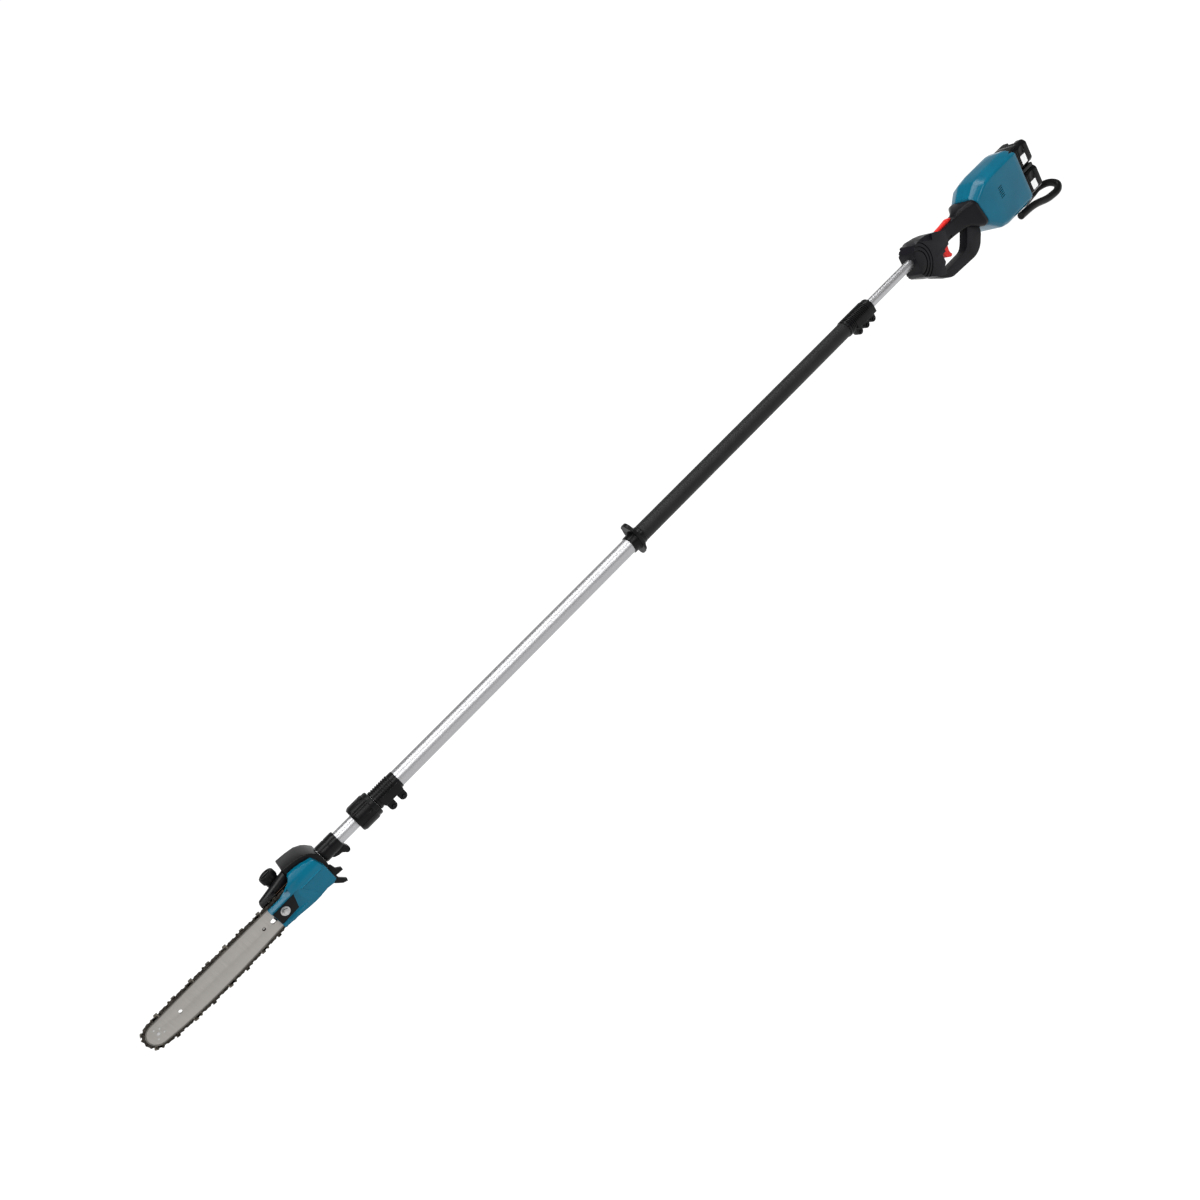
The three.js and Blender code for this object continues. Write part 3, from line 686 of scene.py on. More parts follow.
@dataclass(frozen=True)
class Finish:
    """A surface finish: one material and the slot of the record that it dresses."""

    title: str
    slot: Slot
    shade: str
    roughness: float

    def material(self) -> bpy.types.Material:
        """Makes the finish's material the first time that it is asked for.

        Returns:
            The material.
        """
        made = bpy.data.materials.get(self.title)
        if made is None:
            made = bpy.data.materials.new(self.title)
            made.use_nodes = True
            shader = made.node_tree.nodes["Principled BSDF"]
            shader.inputs["Base Color"].default_value = srgb(self.shade)
            shader.inputs["Roughness"].default_value = self.roughness
            self.dress(made.node_tree, shader)
        return made

    def dress(self, tree: bpy.types.NodeTree, shader: bpy.types.Node) -> None:
        """Adds what the finish has beyond its colour and roughness."""

    def shades(self, tree: bpy.types.NodeTree, shader: bpy.types.Node, other: str,
               value: bpy.types.NodeSocket) -> None:
        """Mixes the base colour towards another shade.

        Args:
            tree: The material's node tree.
            shader: The surface shader.
            other: The second shade.
            value: How much of it shows, from 0 to 1.
        """
        wanted = {0: value, 6: srgb(self.shade), 7: srgb(other)}
        mixed = add_node(tree, "ShaderNodeMix", wanted, data_type="RGBA")
        tree.links.new(mixed.outputs[2], shader.inputs["Base Color"])


@dataclass(frozen=True)
class SparkedNylon(Finish):
    """Glass-filled nylon from a spark-eroded mould: fine dimples break the light into a soft grey haze."""

    dimple: float = 2.2  # a real dimple is 0.1 mm; drawn coarser, as that would be lost from two metres
    depth: float = 0.05
    worn: str = "0e0e10"
    shine: float = 0.13
    cloud: float = 45.0
    polish: float = 0.06

    def dress(self, tree: bpy.types.NodeTree, shader: bpy.types.Node) -> None:
        """Adds the dimples and cloudy patches where hands have polished it.

        Args:
            tree: The material's node tree.
            shader: The surface shader.
        """
        shader.inputs["Specular IOR Level"].default_value = self.shine
        cloud = grain(tree, self.cloud)
        self.shades(tree, shader, self.worn, spread(tree, cloud, 0.0, 0.6))
        rough = spread(tree, cloud, self.roughness + self.polish, self.roughness - self.polish)
        tree.links.new(rough, shader.inputs["Roughness"])
        tree.links.new(bump(tree, grain(tree, self.dimple), self.depth), shader.inputs["Normal"])


@dataclass(frozen=True)
class GlossAbs(Finish):
    """ABS from a polished mould: clean, deep colour with sharp highlights and a faint flow ripple."""

    deep: str = "004a60"
    shine: float = 0.15
    skin: float = 0.12
    skin_roughness: float = 0.1
    tone: float = 60.0
    ripple: float = 14.0
    ripple_depth: float = 0.03

    def dress(self, tree: bpy.types.NodeTree, shader: bpy.types.Node) -> None:
        """Adds the clear skin, a slow change of tone and the flow ripple.

        Args:
            tree: The material's node tree.
            shader: The surface shader.
        """
        shader.inputs["Specular IOR Level"].default_value = self.shine
        shader.inputs["Coat Weight"].default_value = self.skin
        shader.inputs["Coat Roughness"].default_value = self.skin_roughness
        self.shades(tree, shader, self.deep, spread(tree, grain(tree, self.tone), 0.0, 0.5))
        ripple = grain(tree, self.ripple, 1.0)
        tree.links.new(bump(tree, ripple, self.ripple_depth), shader.inputs["Normal"])


@dataclass(frozen=True)
class DrawnMetal(Finish):
    """Metal with lines from the tool: the highlight runs across the lines as one soft band."""

    line: float = 1.6  # real lines are 0.05 mm; drawn coarser so that they survive from two metres
    layers: float = 3.0
    run: Point = (60.0, 1.0, 1.0)
    depth: float = 0.001
    dull: str = "8d8f92"
    change: float = 0.04

    def dress(self, tree: bpy.types.NodeTree, shader: bpy.types.Node) -> None:
        """Adds the metal's reflection and the lines in its gloss, tone and height.

        Args:
            tree: The material's node tree.
            shader: The surface shader.
        """
        shader.inputs["Metallic"].default_value = 1.0
        lines = grain(tree, self.line, self.layers, self.run)
        self.shades(tree, shader, self.dull, spread(tree, lines, 0.0, 0.35))
        rough = spread(tree, lines, self.roughness - self.change, self.roughness + self.change)
        tree.links.new(rough, shader.inputs["Roughness"])
        tree.links.new(bump(tree, lines, self.depth), shader.inputs["Normal"])


@dataclass(frozen=True)
class OiledSteel(Finish):
    """Blued steel under a film of chain oil: dark patches stay glossy, rubbed spots show pale steel."""

    bare: str = "8a857c"
    patch: float = 3.5
    dryness: float = 0.2

    def dress(self, tree: bpy.types.NodeTree, shader: bpy.types.Node) -> None:
        """Adds the oil patches.

        Args:
            tree: The material's node tree.
            shader: The surface shader.
        """
        shader.inputs["Metallic"].default_value = 1.0
        patches = grain(tree, self.patch, 4.0)
        self.shades(tree, shader, self.bare, spread(tree, patches, 0.0, 0.7))
        rough = spread(tree, patches, self.roughness, self.roughness + self.dryness)
        tree.links.new(rough, shader.inputs["Roughness"])


@dataclass(frozen=True)
class CellFoam(Finish):
    """Closed-cell EVA foam: a dead black with a dusty sheen at the edges and a skin of small pits."""

    pit: float = 2.6  # real pits are 0.3 mm; drawn coarser so that they don't turn into noise
    pit_depth: float = 0.12
    shine: float = 0.22
    dust: float = 0.03
    dust_roughness: float = 0.5
    dusty: str = "101012"
    cloud: float = 30.0

    def dress(self, tree: bpy.types.NodeTree, shader: bpy.types.Node) -> None:
        """Adds the dusty sheen and the pits.

        Args:
            tree: The material's node tree.
            shader: The surface shader.
        """
        shader.inputs["Specular IOR Level"].default_value = self.shine
        shader.inputs["Sheen Weight"].default_value = self.dust
        shader.inputs["Sheen Roughness"].default_value = self.dust_roughness
        place = add_node(tree, "ShaderNodeTexCoord").outputs["Object"]
        cells = add_node(tree, "ShaderNodeTexVoronoi", {"Vector": place, "Scale": 1 / (self.pit * MM)})
        tree.links.new(bump(tree, cells.outputs["Distance"], self.pit_depth), shader.inputs["Normal"])
        self.shades(tree, shader, self.dusty, spread(tree, grain(tree, self.cloud, 3.0), 0.0, 0.8))


@dataclass(frozen=True)
class PrintedFilm(Finish):
    """Blank self-adhesive film: an even, slightly glossy white that stands out from the black nylon."""

    shadow: str = "d9dadb"
    wave: float = 12.0

    def dress(self, tree: bpy.types.NodeTree, shader: bpy.types.Node) -> None:
        """Adds a faint unevenness of the film."""
        self.shades(tree, shader, self.shadow, spread(tree, grain(tree, self.wave), 0.0, 0.6))


# casings and clamps: near black, with a dull haze where light rakes over the dimples
NYLON = SparkedNylon("sparked_nylon", Slot.BLACK, "060607", 0.34)
# rear handle: duller, and warmed by the polish of hands
HANDLE_NYLON = SparkedNylon("handle_nylon", Slot.BLACK, "09080b", 0.4, worn="131118")
# tank and packs come from a smoother mould, so their edges catch a clear line of light
SATIN_NYLON = SparkedNylon("satin_nylon", Slot.BLACK, "08080a", 0.24, dimple=3.0, depth=0.02)
# bushes, fan and dock inside: natural grey nylon, matt
GREY_NYLON = SparkedNylon("grey_nylon", Slot.GREY, "6f7276", 0.5, worn="7d8084")
# cover and housing: a deep blue-green under a clear, glossy skin
TEAL = GlossAbs("teal_abs", Slot.TEAL, "005a72", 0.18)
# trigger and lever: a full red that is read at once as something to press
RED = GlossAbs("red_abs", Slot.RED, "d0201a", 0.3, deep="b01812")
# outer tube: extruded and anodised, so one soft white band runs along it over pale grey
TUBE = DrawnMetal(
    "anodised_tube", Slot.TUBE, "a8a8aa", 0.42, 6.0, 1.0, depth=0.0001, dull="a0a0a2", change=0.008,
)
# inner tube and rear pipe: the same, a shade lighter and glossier as they slide and are thinner
PIPE = DrawnMetal(
    "anodised_pipe", Slot.TUBE, "acacae", 0.4, 6.0, 1.0, depth=0.0001, dull="a4a4a6", change=0.008,
)
# bar: ground across its width, so it looks evenly pale and matt
GROUND_STEEL = DrawnMetal("ground_bar_steel", Slot.BAR, "a3a09c", 0.5, run=(1.0, 1.0, 24.0), dull="94918c")
# nut, rivets and shafts: turned bright, with small hard highlights
TURNED_STEEL = DrawnMetal("turned_steel", Slot.STEEL, "b9b9b8", 0.3, run=(1.0, 8.0, 1.0))
# clamp screws: oil-blacked, dark with a metal glint
BLACKED_STEEL = DrawnMetal("blacked_steel", Slot.STEEL, "2a2a2c", 0.4, dull="1c1c1e")
# edge of the bar: worn and darker where the chain runs
RIM_STEEL = DrawnMetal("rim_steel", Slot.BAR, "6d6a66", 0.42, run=(20.0, 1.0, 1.0), dull="54524f")
# shaft bush: sintered bronze, brown and dull from the oil in its pores
BRONZE = DrawnMetal("sintered_bronze", Slot.BRONZE, "a98a4e", 0.42, dull="8a6e3a")
# motor windings: copper under lacquer, warm with a fine grain
COPPER = DrawnMetal("lacquered_copper", Slot.COPPER, "b06a3c", 0.35, line=0.9, dull="8c4d28")
# straps and drive links: oiled and blued, almost black
CHAIN_STEEL = OiledSteel("oiled_chain_steel", Slot.CHAIN, "1c1a18", 0.34, bare="55504a")
# cutters: thin chrome over the steel, so they sparkle against the straps
CUTTER_STEEL = OiledSteel("chromed_cutter_steel", Slot.CHAIN, "3e3a35", 0.28, bare="8c867c")
# grip: foam that gives back next to no light
EVA_FOAM = CellFoam("eva_foam", Slot.FOAM, "080809", 0.55)
# pack labels: blank white film
LABEL_FILM = PrintedFilm("label_film", Slot.GREY, "eceded", 0.35)
# tank seam: the weld line shows the oil's brown through thin nylon
SEAM_NYLON = SparkedNylon("seam_nylon", Slot.BLACK, "4d3a2c", 0.45, worn="5a4636")
# pack buttons: dark grey, a little lighter than the case round them
GREY_BUTTON = SparkedNylon("button_nylon", Slot.GREY, "2c2c30", 0.4, worn="38383d")


# ---------------------------------------------------------------- guide bar and chain
class LinkKind(Enum):
    """What joins two neighbouring rivets of the chain."""

    DRIVE = "drive"
    CUTTER_NEAR = "cutter_near"
    CUTTER_FAR = "cutter_far"
    TIE = "tie"


@dataclass
class BarAndChain:
    """The guide bar with its nose, and the saw chain link by link."""

    bar_near: float = -36.9
    bar_far: float = -33.1
    nose: Point = (-489.6, -4.0)
    nose_radius: float = 21.4
    tail: float = -188.0
    tail_top: float = 15.3
    tail_bottom: float = -28.5
    spindle: Point = (-140.0, 0.0)
    sprocket_radius: float = 14.0
    rivet_height: float = 3.2
    pitch: float = 9.525
    rivet_radius: float = 1.7
    strap: float = 1.15
    drive: float = 1.3
    phase: int = 2  # which rivet the first cutter starts from, so that plain straps run round the tip
    slot: tuple[float, float, float, float] = (-240.0, -203.0, -13.4, -4.6)
    holes: tuple[tuple[float, float, float], ...] = ((-441.5, -4.0, 3.4), (-255.0, -7.0, 3.2))
    dots: tuple[tuple[float, float], ...] = ((-490.6, 6.4), (-495.8, -11.6), (-481.5, -9.0), (-482.5, 1.6))

    def upper(self, count: int) -> list[Point]:
        """Returns the bar's upper edge from its tail to the nose."""
        tip = (self.nose[0], self.nose[1] + self.nose_radius)
        return sweep((self.tail, self.tail_top), (-340.0, 18.5), tip, count)

    def lower(self, count: int) -> list[Point]:
        """Returns the bar's lower edge from the nose to its tail."""
        tip = (self.nose[0], self.nose[1] - self.nose_radius)
        return sweep(tip, (-400.0, -40.0), (self.tail, self.tail_bottom), count)

    def outline(self) -> list[Point]:
        """Returns the bar's outline."""
        tip = arc(self.nose, self.nose_radius, 90, 270, 40)
        return [*self.upper(24), *tip[1:-1], *self.lower(28)]

    def rail(self) -> list[Vector]:
        """Draws the closed line that the chain's rivets lie on, in small steps.

        Returns:
            The line's points in the side plane.
        """
        away, radius, run, steps = self.rivet_height, self.sprocket_radius, self.tail - self.spindle[0], 20
        x, z = self.spindle
        top = [(x + i * run / steps, radius + i * (self.tail_top - radius) / steps) for i in range(steps)]
        bottom = [(self.tail - i * run / steps, self.tail_bottom - i * (self.tail_bottom + radius) / steps)
                  for i in range(steps)]
        line = [*top, *self.upper(160)[:-1], *arc(self.nose, self.nose_radius, 90, 270, 80)[:-1],
                *self.lower(160)[:-1], *bottom, *arc((x, z), self.sprocket_radius, -90, 90, 40)[:-1]]
        offset = []
        for i, here in enumerate(line):
            before, after = Vector(line[i - 1]), Vector(line[(i + 1) % len(line)])
            along = (after - before).normalized()
            offset.append(Vector(here) + Vector((along.y, -along.x)) * away)
        return offset

    def rivets(self) -> list[Vector]:
        """Spaces the rivets evenly round the rail.

        Returns:
            The places of all rivets in the side plane.
        """
        rail = self.rail()
        steps = [(rail[(i + 1) % len(rail)] - rail[i]).length for i in range(len(rail))]
        count = 4 * round(sum(steps) / self.pitch / 4)
        spacing = sum(steps) / count
        places: list[Vector] = []
        done, due = 0.0, 0.0
        for i, step in enumerate(steps):
            while due < done + step and len(places) < count:
                places.append(rail[i].lerp(rail[(i + 1) % len(rail)], (due - done) / step))
                due += spacing
            done += step
        return places

    def build_bar(self) -> None:
        """Grinds the bar and drills it, with a laminated nose held by small rivets."""
        bar = Workpiece.plate("bar_blade", self.outline(), self.bar_near, self.bar_far)
        x0, x1, z0, z1 = self.slot
        middle = (z0 + z1) / 2
        half = (z1 - z0) / 2
        slot = Workpiece.plate(
            "slot",
            [*arc((x0 + half, middle), half, 90, 270, 9), *arc((x1 - half, middle), half, -90, 90, 9)],
            self.bar_near - 2, self.bar_far + 2,
        )
        bar.cut(slot)
        for x, z, radius in self.holes:
            bar.cut(Workpiece.rod("hole", radius, (x, self.bar_near - 2, z), (x, self.bar_far + 2, z), 28))
        x, z, radius = self.holes[-1]
        plug = Workpiece.turned("oil_port", [(1.2, self.bar_near + 0.9), (radius + 0.1, self.bar_near + 0.9),
                                             (radius + 0.1, self.bar_far - 0.9), (1.2, self.bar_far - 0.9)],
                                Axis.Y, (x, 0, z), 32)
        plug.finish("telescope", CHAIN_STEEL)
        bar.soften(0.5, 2, 50)
        bar.finish("telescope", GROUND_STEEL, ["guide_bar"])
        rim = Workpiece.plate("bar_rim", self.outline(), self.bar_near - 0.12, self.bar_far + 0.12)
        inner = Workpiece.plate("rim_inner", self.inner_outline(2.2), self.bar_near - 3, self.bar_far + 3)
        rim.cut(inner).finish("telescope", RIM_STEEL)
        hub = Workpiece.rod("nose_hub", 3.0, (*self.at(self.nose, self.bar_near - 0.45),),
                            (*self.at(self.nose, self.bar_far + 0.45),), 28)
        hub.soften(0.3, 2)
        dots = [
            Workpiece.rod("dot", 1.5, self.at(dot, self.bar_near - 0.3), self.at(dot, self.bar_far + 0.3), 16)
            for dot in self.dots
        ]
        hub.gather(*dots).finish("telescope", TURNED_STEEL, ["nose_rivet"])

    def inner_outline(self, inset: float) -> list[Point]:
        """Moves the bar's outline inwards and carries it past the tail.

        Args:
            inset: How far inwards.

        Returns:
            The moved outline.
        """
        line = self.outline()
        moved = []
        for i, here in enumerate(line):
            before, after = Vector(line[max(i - 1, 0)]), Vector(line[min(i + 1, len(line) - 1)])
            along = (after - before).normalized()
            moved.append((here[0] - along.y * inset, here[1] + along.x * inset))
        moved[0] = (moved[0][0] + 6, moved[0][1])
        moved[-1] = (moved[-1][0] + 6, moved[-1][1])
        return moved

    @staticmethod
    def at(place: Point, depth: float) -> Point:
        """Returns a point of the side plane at a depth."""
        return (place[0], depth, place[1])

    def link_masters(self) -> dict[LinkKind, Workpiece]:
        """Makes one link of each kind, with its first rivet at the origin and the next one along +X.

        Returns:
            The links to copy, by kind.
        """
        p, inner, outer = self.pitch, 0.9, 0.9 + self.strap
        strap = [*arc((0, 0), 2.7, 90, 270, 9), (p / 2, -2.1), *arc((p, 0), 2.7, -90, 90, 9), (p / 2, 2.1)]
        blade = [(-4.5, -2.8), (-5.0, 3.0), (-3.5, 4.6), (2.5, 5.0), (2.2, 3.8), (4.4, 1.8), (6.8, 2.4),
                 (8.4, 4.6), (10.6, 4.5), (12.2, 1.5), (12.2, -2.8)]
        tie = Workpiece.plate("tie", strap, -outer, -inner).soften(0.25, 1)
        tie.gather(Workpiece.plate("tie_far", strap, inner, outer).soften(0.25, 1))
        for x in (0.0, p):
            rivet = Workpiece.rod("rivet", self.rivet_radius, (x, -outer - 0.35, 0), (x, outer + 0.35, 0), 14)
            tie.gather(rivet.soften(0.3, 1))
        middle = [*arc((0, 0), 2.5, 90, 215, 7), (2.2, -3.6), (p - 2.2, -3.6), *arc((p, 0), 2.5, -35, 90, 7),
                  (p / 2, 1.7)]
        drive = Workpiece.plate("drive", middle, -self.drive / 2, self.drive / 2).soften(0.2, 1)
        cutter = Workpiece.plate("cutter", blade, -outer, -inner).soften(0.2, 1)
        top = Workpiece.plate("top_plate", [(-4.9, 4.1), (-3.5, 4.75), (2.6, 5.1), (2.6, 4.3), (-3.2, 3.9)],
                              -outer, 2.9)
        cutter.gather(top.soften(0.15, 1))
        far_cutter = cutter.mirrored("cutter_far")
        return {LinkKind.DRIVE: drive, LinkKind.TIE: tie, LinkKind.CUTTER_NEAR: cutter,
                LinkKind.CUTTER_FAR: far_cutter}

    def build_chain(self) -> None:
        """Lays the links round the bar: drive link, cutter, drive link, tie straps, and so on."""
        masters = self.link_masters()
        places = self.rivets()
        depth = (self.bar_near + self.bar_far) / 2
        links: list[Workpiece] = []
        cutters: list[Workpiece] = []
        for i, here in enumerate(places):
            there = places[(i + 1) % len(places)]
            along = Vector((there.x - here.x, 0, there.y - here.y)).normalized()
            up = Vector((along.z, 0, -along.x))
            across = up.cross(along)
            turn = Matrix((along, across, up)).transposed().to_4x4()
            change = Matrix.Translation((here.x, depth, here.y)) @ turn
            step = i + self.phase
            if step % 2 == 0:
                links.append(masters[LinkKind.DRIVE].copy("link").moved(change))
                continue
            links.append(masters[LinkKind.TIE].copy("link").moved(change))
            if step % 4 == 1:
                kind = LinkKind.CUTTER_NEAR if step % 8 == 1 else LinkKind.CUTTER_FAR
                cutters.append(masters[kind].copy("cutting_link").moved(change))
        links[0].gather(*links[1:])
        links[0].item.name = "chain_links"
        links[0].finish("telescope", CHAIN_STEEL, ["saw_chain"])
        cutters[0].gather(*cutters[1:])
        cutters[0].item.name = "chain_cutters"
        cutters[0].finish("telescope", CUTTER_STEEL)
        for master in masters.values():
            master.discard()
        LOG.info("chain of %d links, %d of them cutters", len(places), len(cutters))

    def build(self) -> None:
        """Builds the bar and the chain."""
        self.build_bar()
        self.build_chain()


# ---------------------------------------------------------------- saw head
@dataclass
class SawHead:
    """Gear case, oil tank with its cap, sprocket cover with the bar nut, sleeve and branch hook."""

    half_width: float = 27.0
    cover_near: float = -46.0
    cover_far: float = -27.3
    cover_inside: float = -43.5
    chain_room: float = -38.6
    floor: float = -41.2
    stud: Point = (-208.0, -9.0)
    stud_radius: float = 3.9
    cap: Point = (-190.0, 2.0)
    cap_bottom: float = 37.0
    cap_top: float = 51.5
    cap_radius: float = 15.5
    tube_clear: float = 14.3

    case_outline: tuple[Point, ...] = (
        (-101, -12), (-101, 16), (-103.5, 20), (-108, 27), (-114, 33.5), (-126, 40.5), (-143, 43.8),
        (-165, 46), (-165, 0), (-231, 0), (-233, -4), (-233, -34), (-190, -37), (-122, -36),
    )
    cover_outline: tuple[Point, ...] = (
        (-228, -31, 1.5), (-228, 15.5, 2), (-200, 15), (-189, 18.5), (-171, 26), (-165, 32), (-160, 34.3),
        (-149, 33.8), (-133, 30.8), (-114, 24.2, 3), (-107.3, -3.5), (-109, -35, 2), (-118, -37.8),
        (-131, -35.8), (-142, -36.8), (-159, -37.3), (-176, -36), (-196, -33.5),
    )
    inside_outline: tuple[Point, ...] = (
        (-240, -60), (-240, 40), (-170, 40), (-165, 28.5), (-160, 31.5), (-149, 31), (-134, 28), (-117, 22.5),
        (-110.2, -3.5), (-112, -31), (-120, -34.5), (-138, -33), (-146, -60),
    )

    def build_case(self) -> None:
        """Casts the black gear case behind the cover."""
        body = Workpiece.plate("head_case", self.case_outline, -self.half_width, self.half_width)
        body.soften(3.0, 4, 40)
        pad = Workpiece.block("bar_pad", (-231, -32.8, -26), (-184, -20, 0)).soften(0.8, 2)
        room = Workpiece.rod("room", 20, (-140, -40, 0), (-140, 19, 0), 48)
        socket = Workpiece.rod("socket", self.tube_clear, (-113, 0, 0), (-90, 0, 0), 48)
        rib = Workpiece.plate("rib", [(-158, 20), (-150, 38), (-128, 36), (-116, 28), (-110, 10), (-118, 2)],
                              25.8, 40).soften(0.6, 2)
        body.weld(pad).cut(room, socket, rib)
        body.finish("telescope", NYLON, ["gear_case"])
        screws = []
        for x, z in ((-223, -8), (-176, -26), (-122, -26), (-113, 12)):
            head = Workpiece.rod("case_screw", 3.4, (x, 24, z), (x, self.half_width - 0.2, z), 24)
            head.soften(0.4, 2)
            head.cut(Workpiece.rod("drive", 1.6, (x, 25.6, z), (x, 30, z), 6))
            screws.append(head)
        screws[0].gather(*screws[1:]).finish("telescope", TURNED_STEEL)

    def tank_ring(self, x: float, ridge: float, grow: float = 0.0) -> list[Vector]:
        """Returns one section of the oil tank.

        Args:
            x: Where the section is.
            ridge: Height of its upper near edge.
            grow: How far it is moved outwards.

        Returns:
            The section's points.
        """
        far, near = 26 + grow, -27 - grow
        top = ridge + grow
        points = [(far, 0.4 - grow), (far, top - 21), (far - 4, top - 16), (-14, top - 0.6), (-18, top),
                  (-21, top - 0.8), (near, top - 4.6), (near, 0.4 - grow)]
        return [Vector((x, y, z)) for y, z in points]

    def build_tank(self) -> None:
        """Moulds the oil tank with its seam and filler neck."""
        rings = [self.tank_ring(-165.4, 41.5), self.tank_ring(-229, 29.8), self.tank_ring(-232.6, 26.6, -1.8)]
        tank = Workpiece.lofted("oil_reservoir", rings).soften(1.6, 3, 25)
        roof = Workpiece.block("chain_roof", (-231, -40, 25.8), (-198, -20, 28.4)).soften(0.9, 3)
        x, y = self.cap
        neck = Workpiece.rod("neck", 13, (x, y, 15), (x, y, self.cap_bottom - 0.3), 48).soften(0.8, 2)
        filler = Workpiece.rod("filler", 9, (x, y, 22), (x, y, 60), 40)
        tank.weld(roof, neck).cut(filler)
        tank.finish("telescope", SATIN_NYLON, ["oil_tank"])
        seam = Workpiece.block("tank_seam", (-226, -27.35, 20.6), (-167, -26.4, 21.6)).soften(0.2, 2)
        seam.finish("telescope", SEAM_NYLON)

    def build_cap(self) -> None:
        """Moulds the round oil cap with finger scallops, and its plug."""
        x, y = self.cap
        radius, top, bottom = self.cap_radius, self.cap_top, self.cap_bottom
        cap = Workpiece.turned(
            "filler_cap",
            [(0, bottom), (radius - 1, bottom), (radius, bottom + 1), (radius, top - 3),
             (radius - 1, top - 1), (radius - 3, top), (radius - 5, top), (radius - 6, top - 1.4),
             (0, top - 1.4)],
            Axis.Z, (x, y, 0),
        )
        for i in range(10):
            angle = FULL_TURN * i / 10
            away = (x + (radius + 2.6) * math.cos(angle), y + (radius + 2.6) * math.sin(angle))
            cap.cut(Workpiece.rod("scallop", 3.8, (*away, bottom - 1), (*away, top + 1), 20))
        bar = Workpiece.plate("grip_bar", [(x - 9, y - 2.2, 2), (x + 9, y - 2.2, 2), (x + 9, y + 2.2, 2),
                                           (x - 9, y + 2.2, 2)], top - 2, top - 0.1, Plane.TOP)
        cap.weld(bar.soften(0.5, 2)).soften(0.35, 2, 40)
        cap.finish("oil_cap", NYLON, ["oil_cap"])
        thread = [(6.5, 24), (8.2, 24), (8.7, 25)]
        for turn in range(3):
            thread += [(8.2, 26.3 + 2.6 * turn), (8.7, 27.6 + 2.6 * turn)]
        thread += [(8.7, bottom - 0.3), (6.5, bottom - 0.3)]
        plug = Workpiece.turned("cap_thread", thread, Axis.Z, (x, y, 0), 40)
        plug.finish("oil_cap_plug", NYLON, ["oil_cap_plug"])

    def channel_cutter(self) -> Workpiece:
        """Makes the tool that sinks the slanted recess for the bar nut into the cover.

        Returns:
            The tool, wider in front of the cover than at the recess's floor.
        """
        mouth = [(-244, -31.0), (-244, 9.2), (-157.6, 8.2), (-152.0, -29.8)]
        bottom = [(-244, -25.0), (-244, 3.4), (-176.5, 3.4), (-187.0, -23.6)]
        levels = ((-50.0, mouth), (self.floor, bottom))
        return Workpiece.lofted("channel", [[Vector((x, y, z)) for x, z in corners] for y, corners in levels])

    def build_cover(self) -> None:
        """Moulds the glossy sprocket cover: flank, ridge, slanted recess and hollow inside."""
        cover = Workpiece.plate("side_cover", self.cover_outline, self.cover_near, self.cover_far)
        near = self.cover_near
        slope = Workpiece.plate("slope", [(-60, 3.6), (near, 3.6), (-40.6, 36), (-60, 36)], -182, -90,
                                Plane.CROSS)
        crown = Workpiece.plate("crown", [(-60, 22), (-43.4, 22), (-37.6, 36), (-60, 36)], -180, -90,
                                Plane.CROSS)
        brow = Workpiece.plate("brow", [(-60, 8.4), (near, 8.4), (-38.5, 19.5), (-60, 19.5)], -240, -180,
                               Plane.CROSS)
        panel = Workpiece.plate("panel", [(-161, 2.4), (-100, 2.4), (-100, -60), (-146, -60), (-146, -30)],
                                -60, near + 0.9)
        cover.cut(slope, crown, brow, panel, self.channel_cutter()).soften(0.8, 3, 14)
        lip = Workpiece.plate("lip", [
            (near + 1.4, 1.5), (near - 1.6, 1.5), (near - 1.6, 2.0), (near + 0.6, 4.2), (near + 1.4, 4.2),
        ], -163, -114, Plane.CROSS)
        cover.weld(lip.soften(0.25, 2, 30))
        inside = Workpiece.plate("inside", self.inside_outline, self.chain_room, 0)
        lower = Workpiece.plate("lower", [
            (-164, 8), (-113, 8), (-113, -32), (-138, -32), (-138, -50), (-164, -50),
        ], self.cover_inside, -30)
        inside.weld(lower)
        skin = Workpiece.block("skin", (-240, -60, -27.2), (-166, self.floor + 2.4, 6.7))
        x, z = self.stud
        stud = Workpiece.rod("stud_hole", self.stud_radius + 0.3, (x, -60, z), (x, 0, z), 32)
        cover.cut(inside.cut(skin), stud)
        cover.finish("telescope", TEAL, ["sprocket_cover"], 26)
        plate = Workpiece.plate(
            "wear_plate", [(-227.4, -24.4, 1.5), (-227.4, 2.8, 1.5), (-178.5, 2.8), (-188.0, -23.0)],
            self.floor - 0.5, self.floor + 0.2,
        )
        plate.cut(Workpiece.rod("hole", 4.4, (x, -60, z), (x, 0, z), 32))
        plate.soften(0.2, 2, 50).finish("telescope", SATIN_NYLON)

    def build_nut(self) -> None:
        """Turns the bar stud, its washer and the hexagon nut."""
        x, z = self.stud
        face = self.floor
        washer = Workpiece.turned("nut_washer", [(4.3, face - 0.6), (9, face - 0.6), (9, face - 1.4),
                                                 (8.4, face - 2.1), (4.3, face - 2.1)], Axis.Y, (x, 0, z), 48)
        hexagon = Workpiece.rod("hexagon", 6.6, (x, face - 7.9, z), (x, face - 2, z), 6).soften(0.5, 2)
        bore = Workpiece.rod("bore", self.stud_radius + 0.2, (x, -60, z), (x, 0, z), 32)
        hexagon.cut(bore)
        washer.gather(hexagon).finish("telescope", TURNED_STEEL, ["bar_nut"])
        stud = Workpiece.rod("cover_stud", self.stud_radius, (x, face - 8.5, z), (x, -15, z), 32)
        stud.soften(0.7, 2).finish("telescope", TURNED_STEEL, ["bar_stud"])

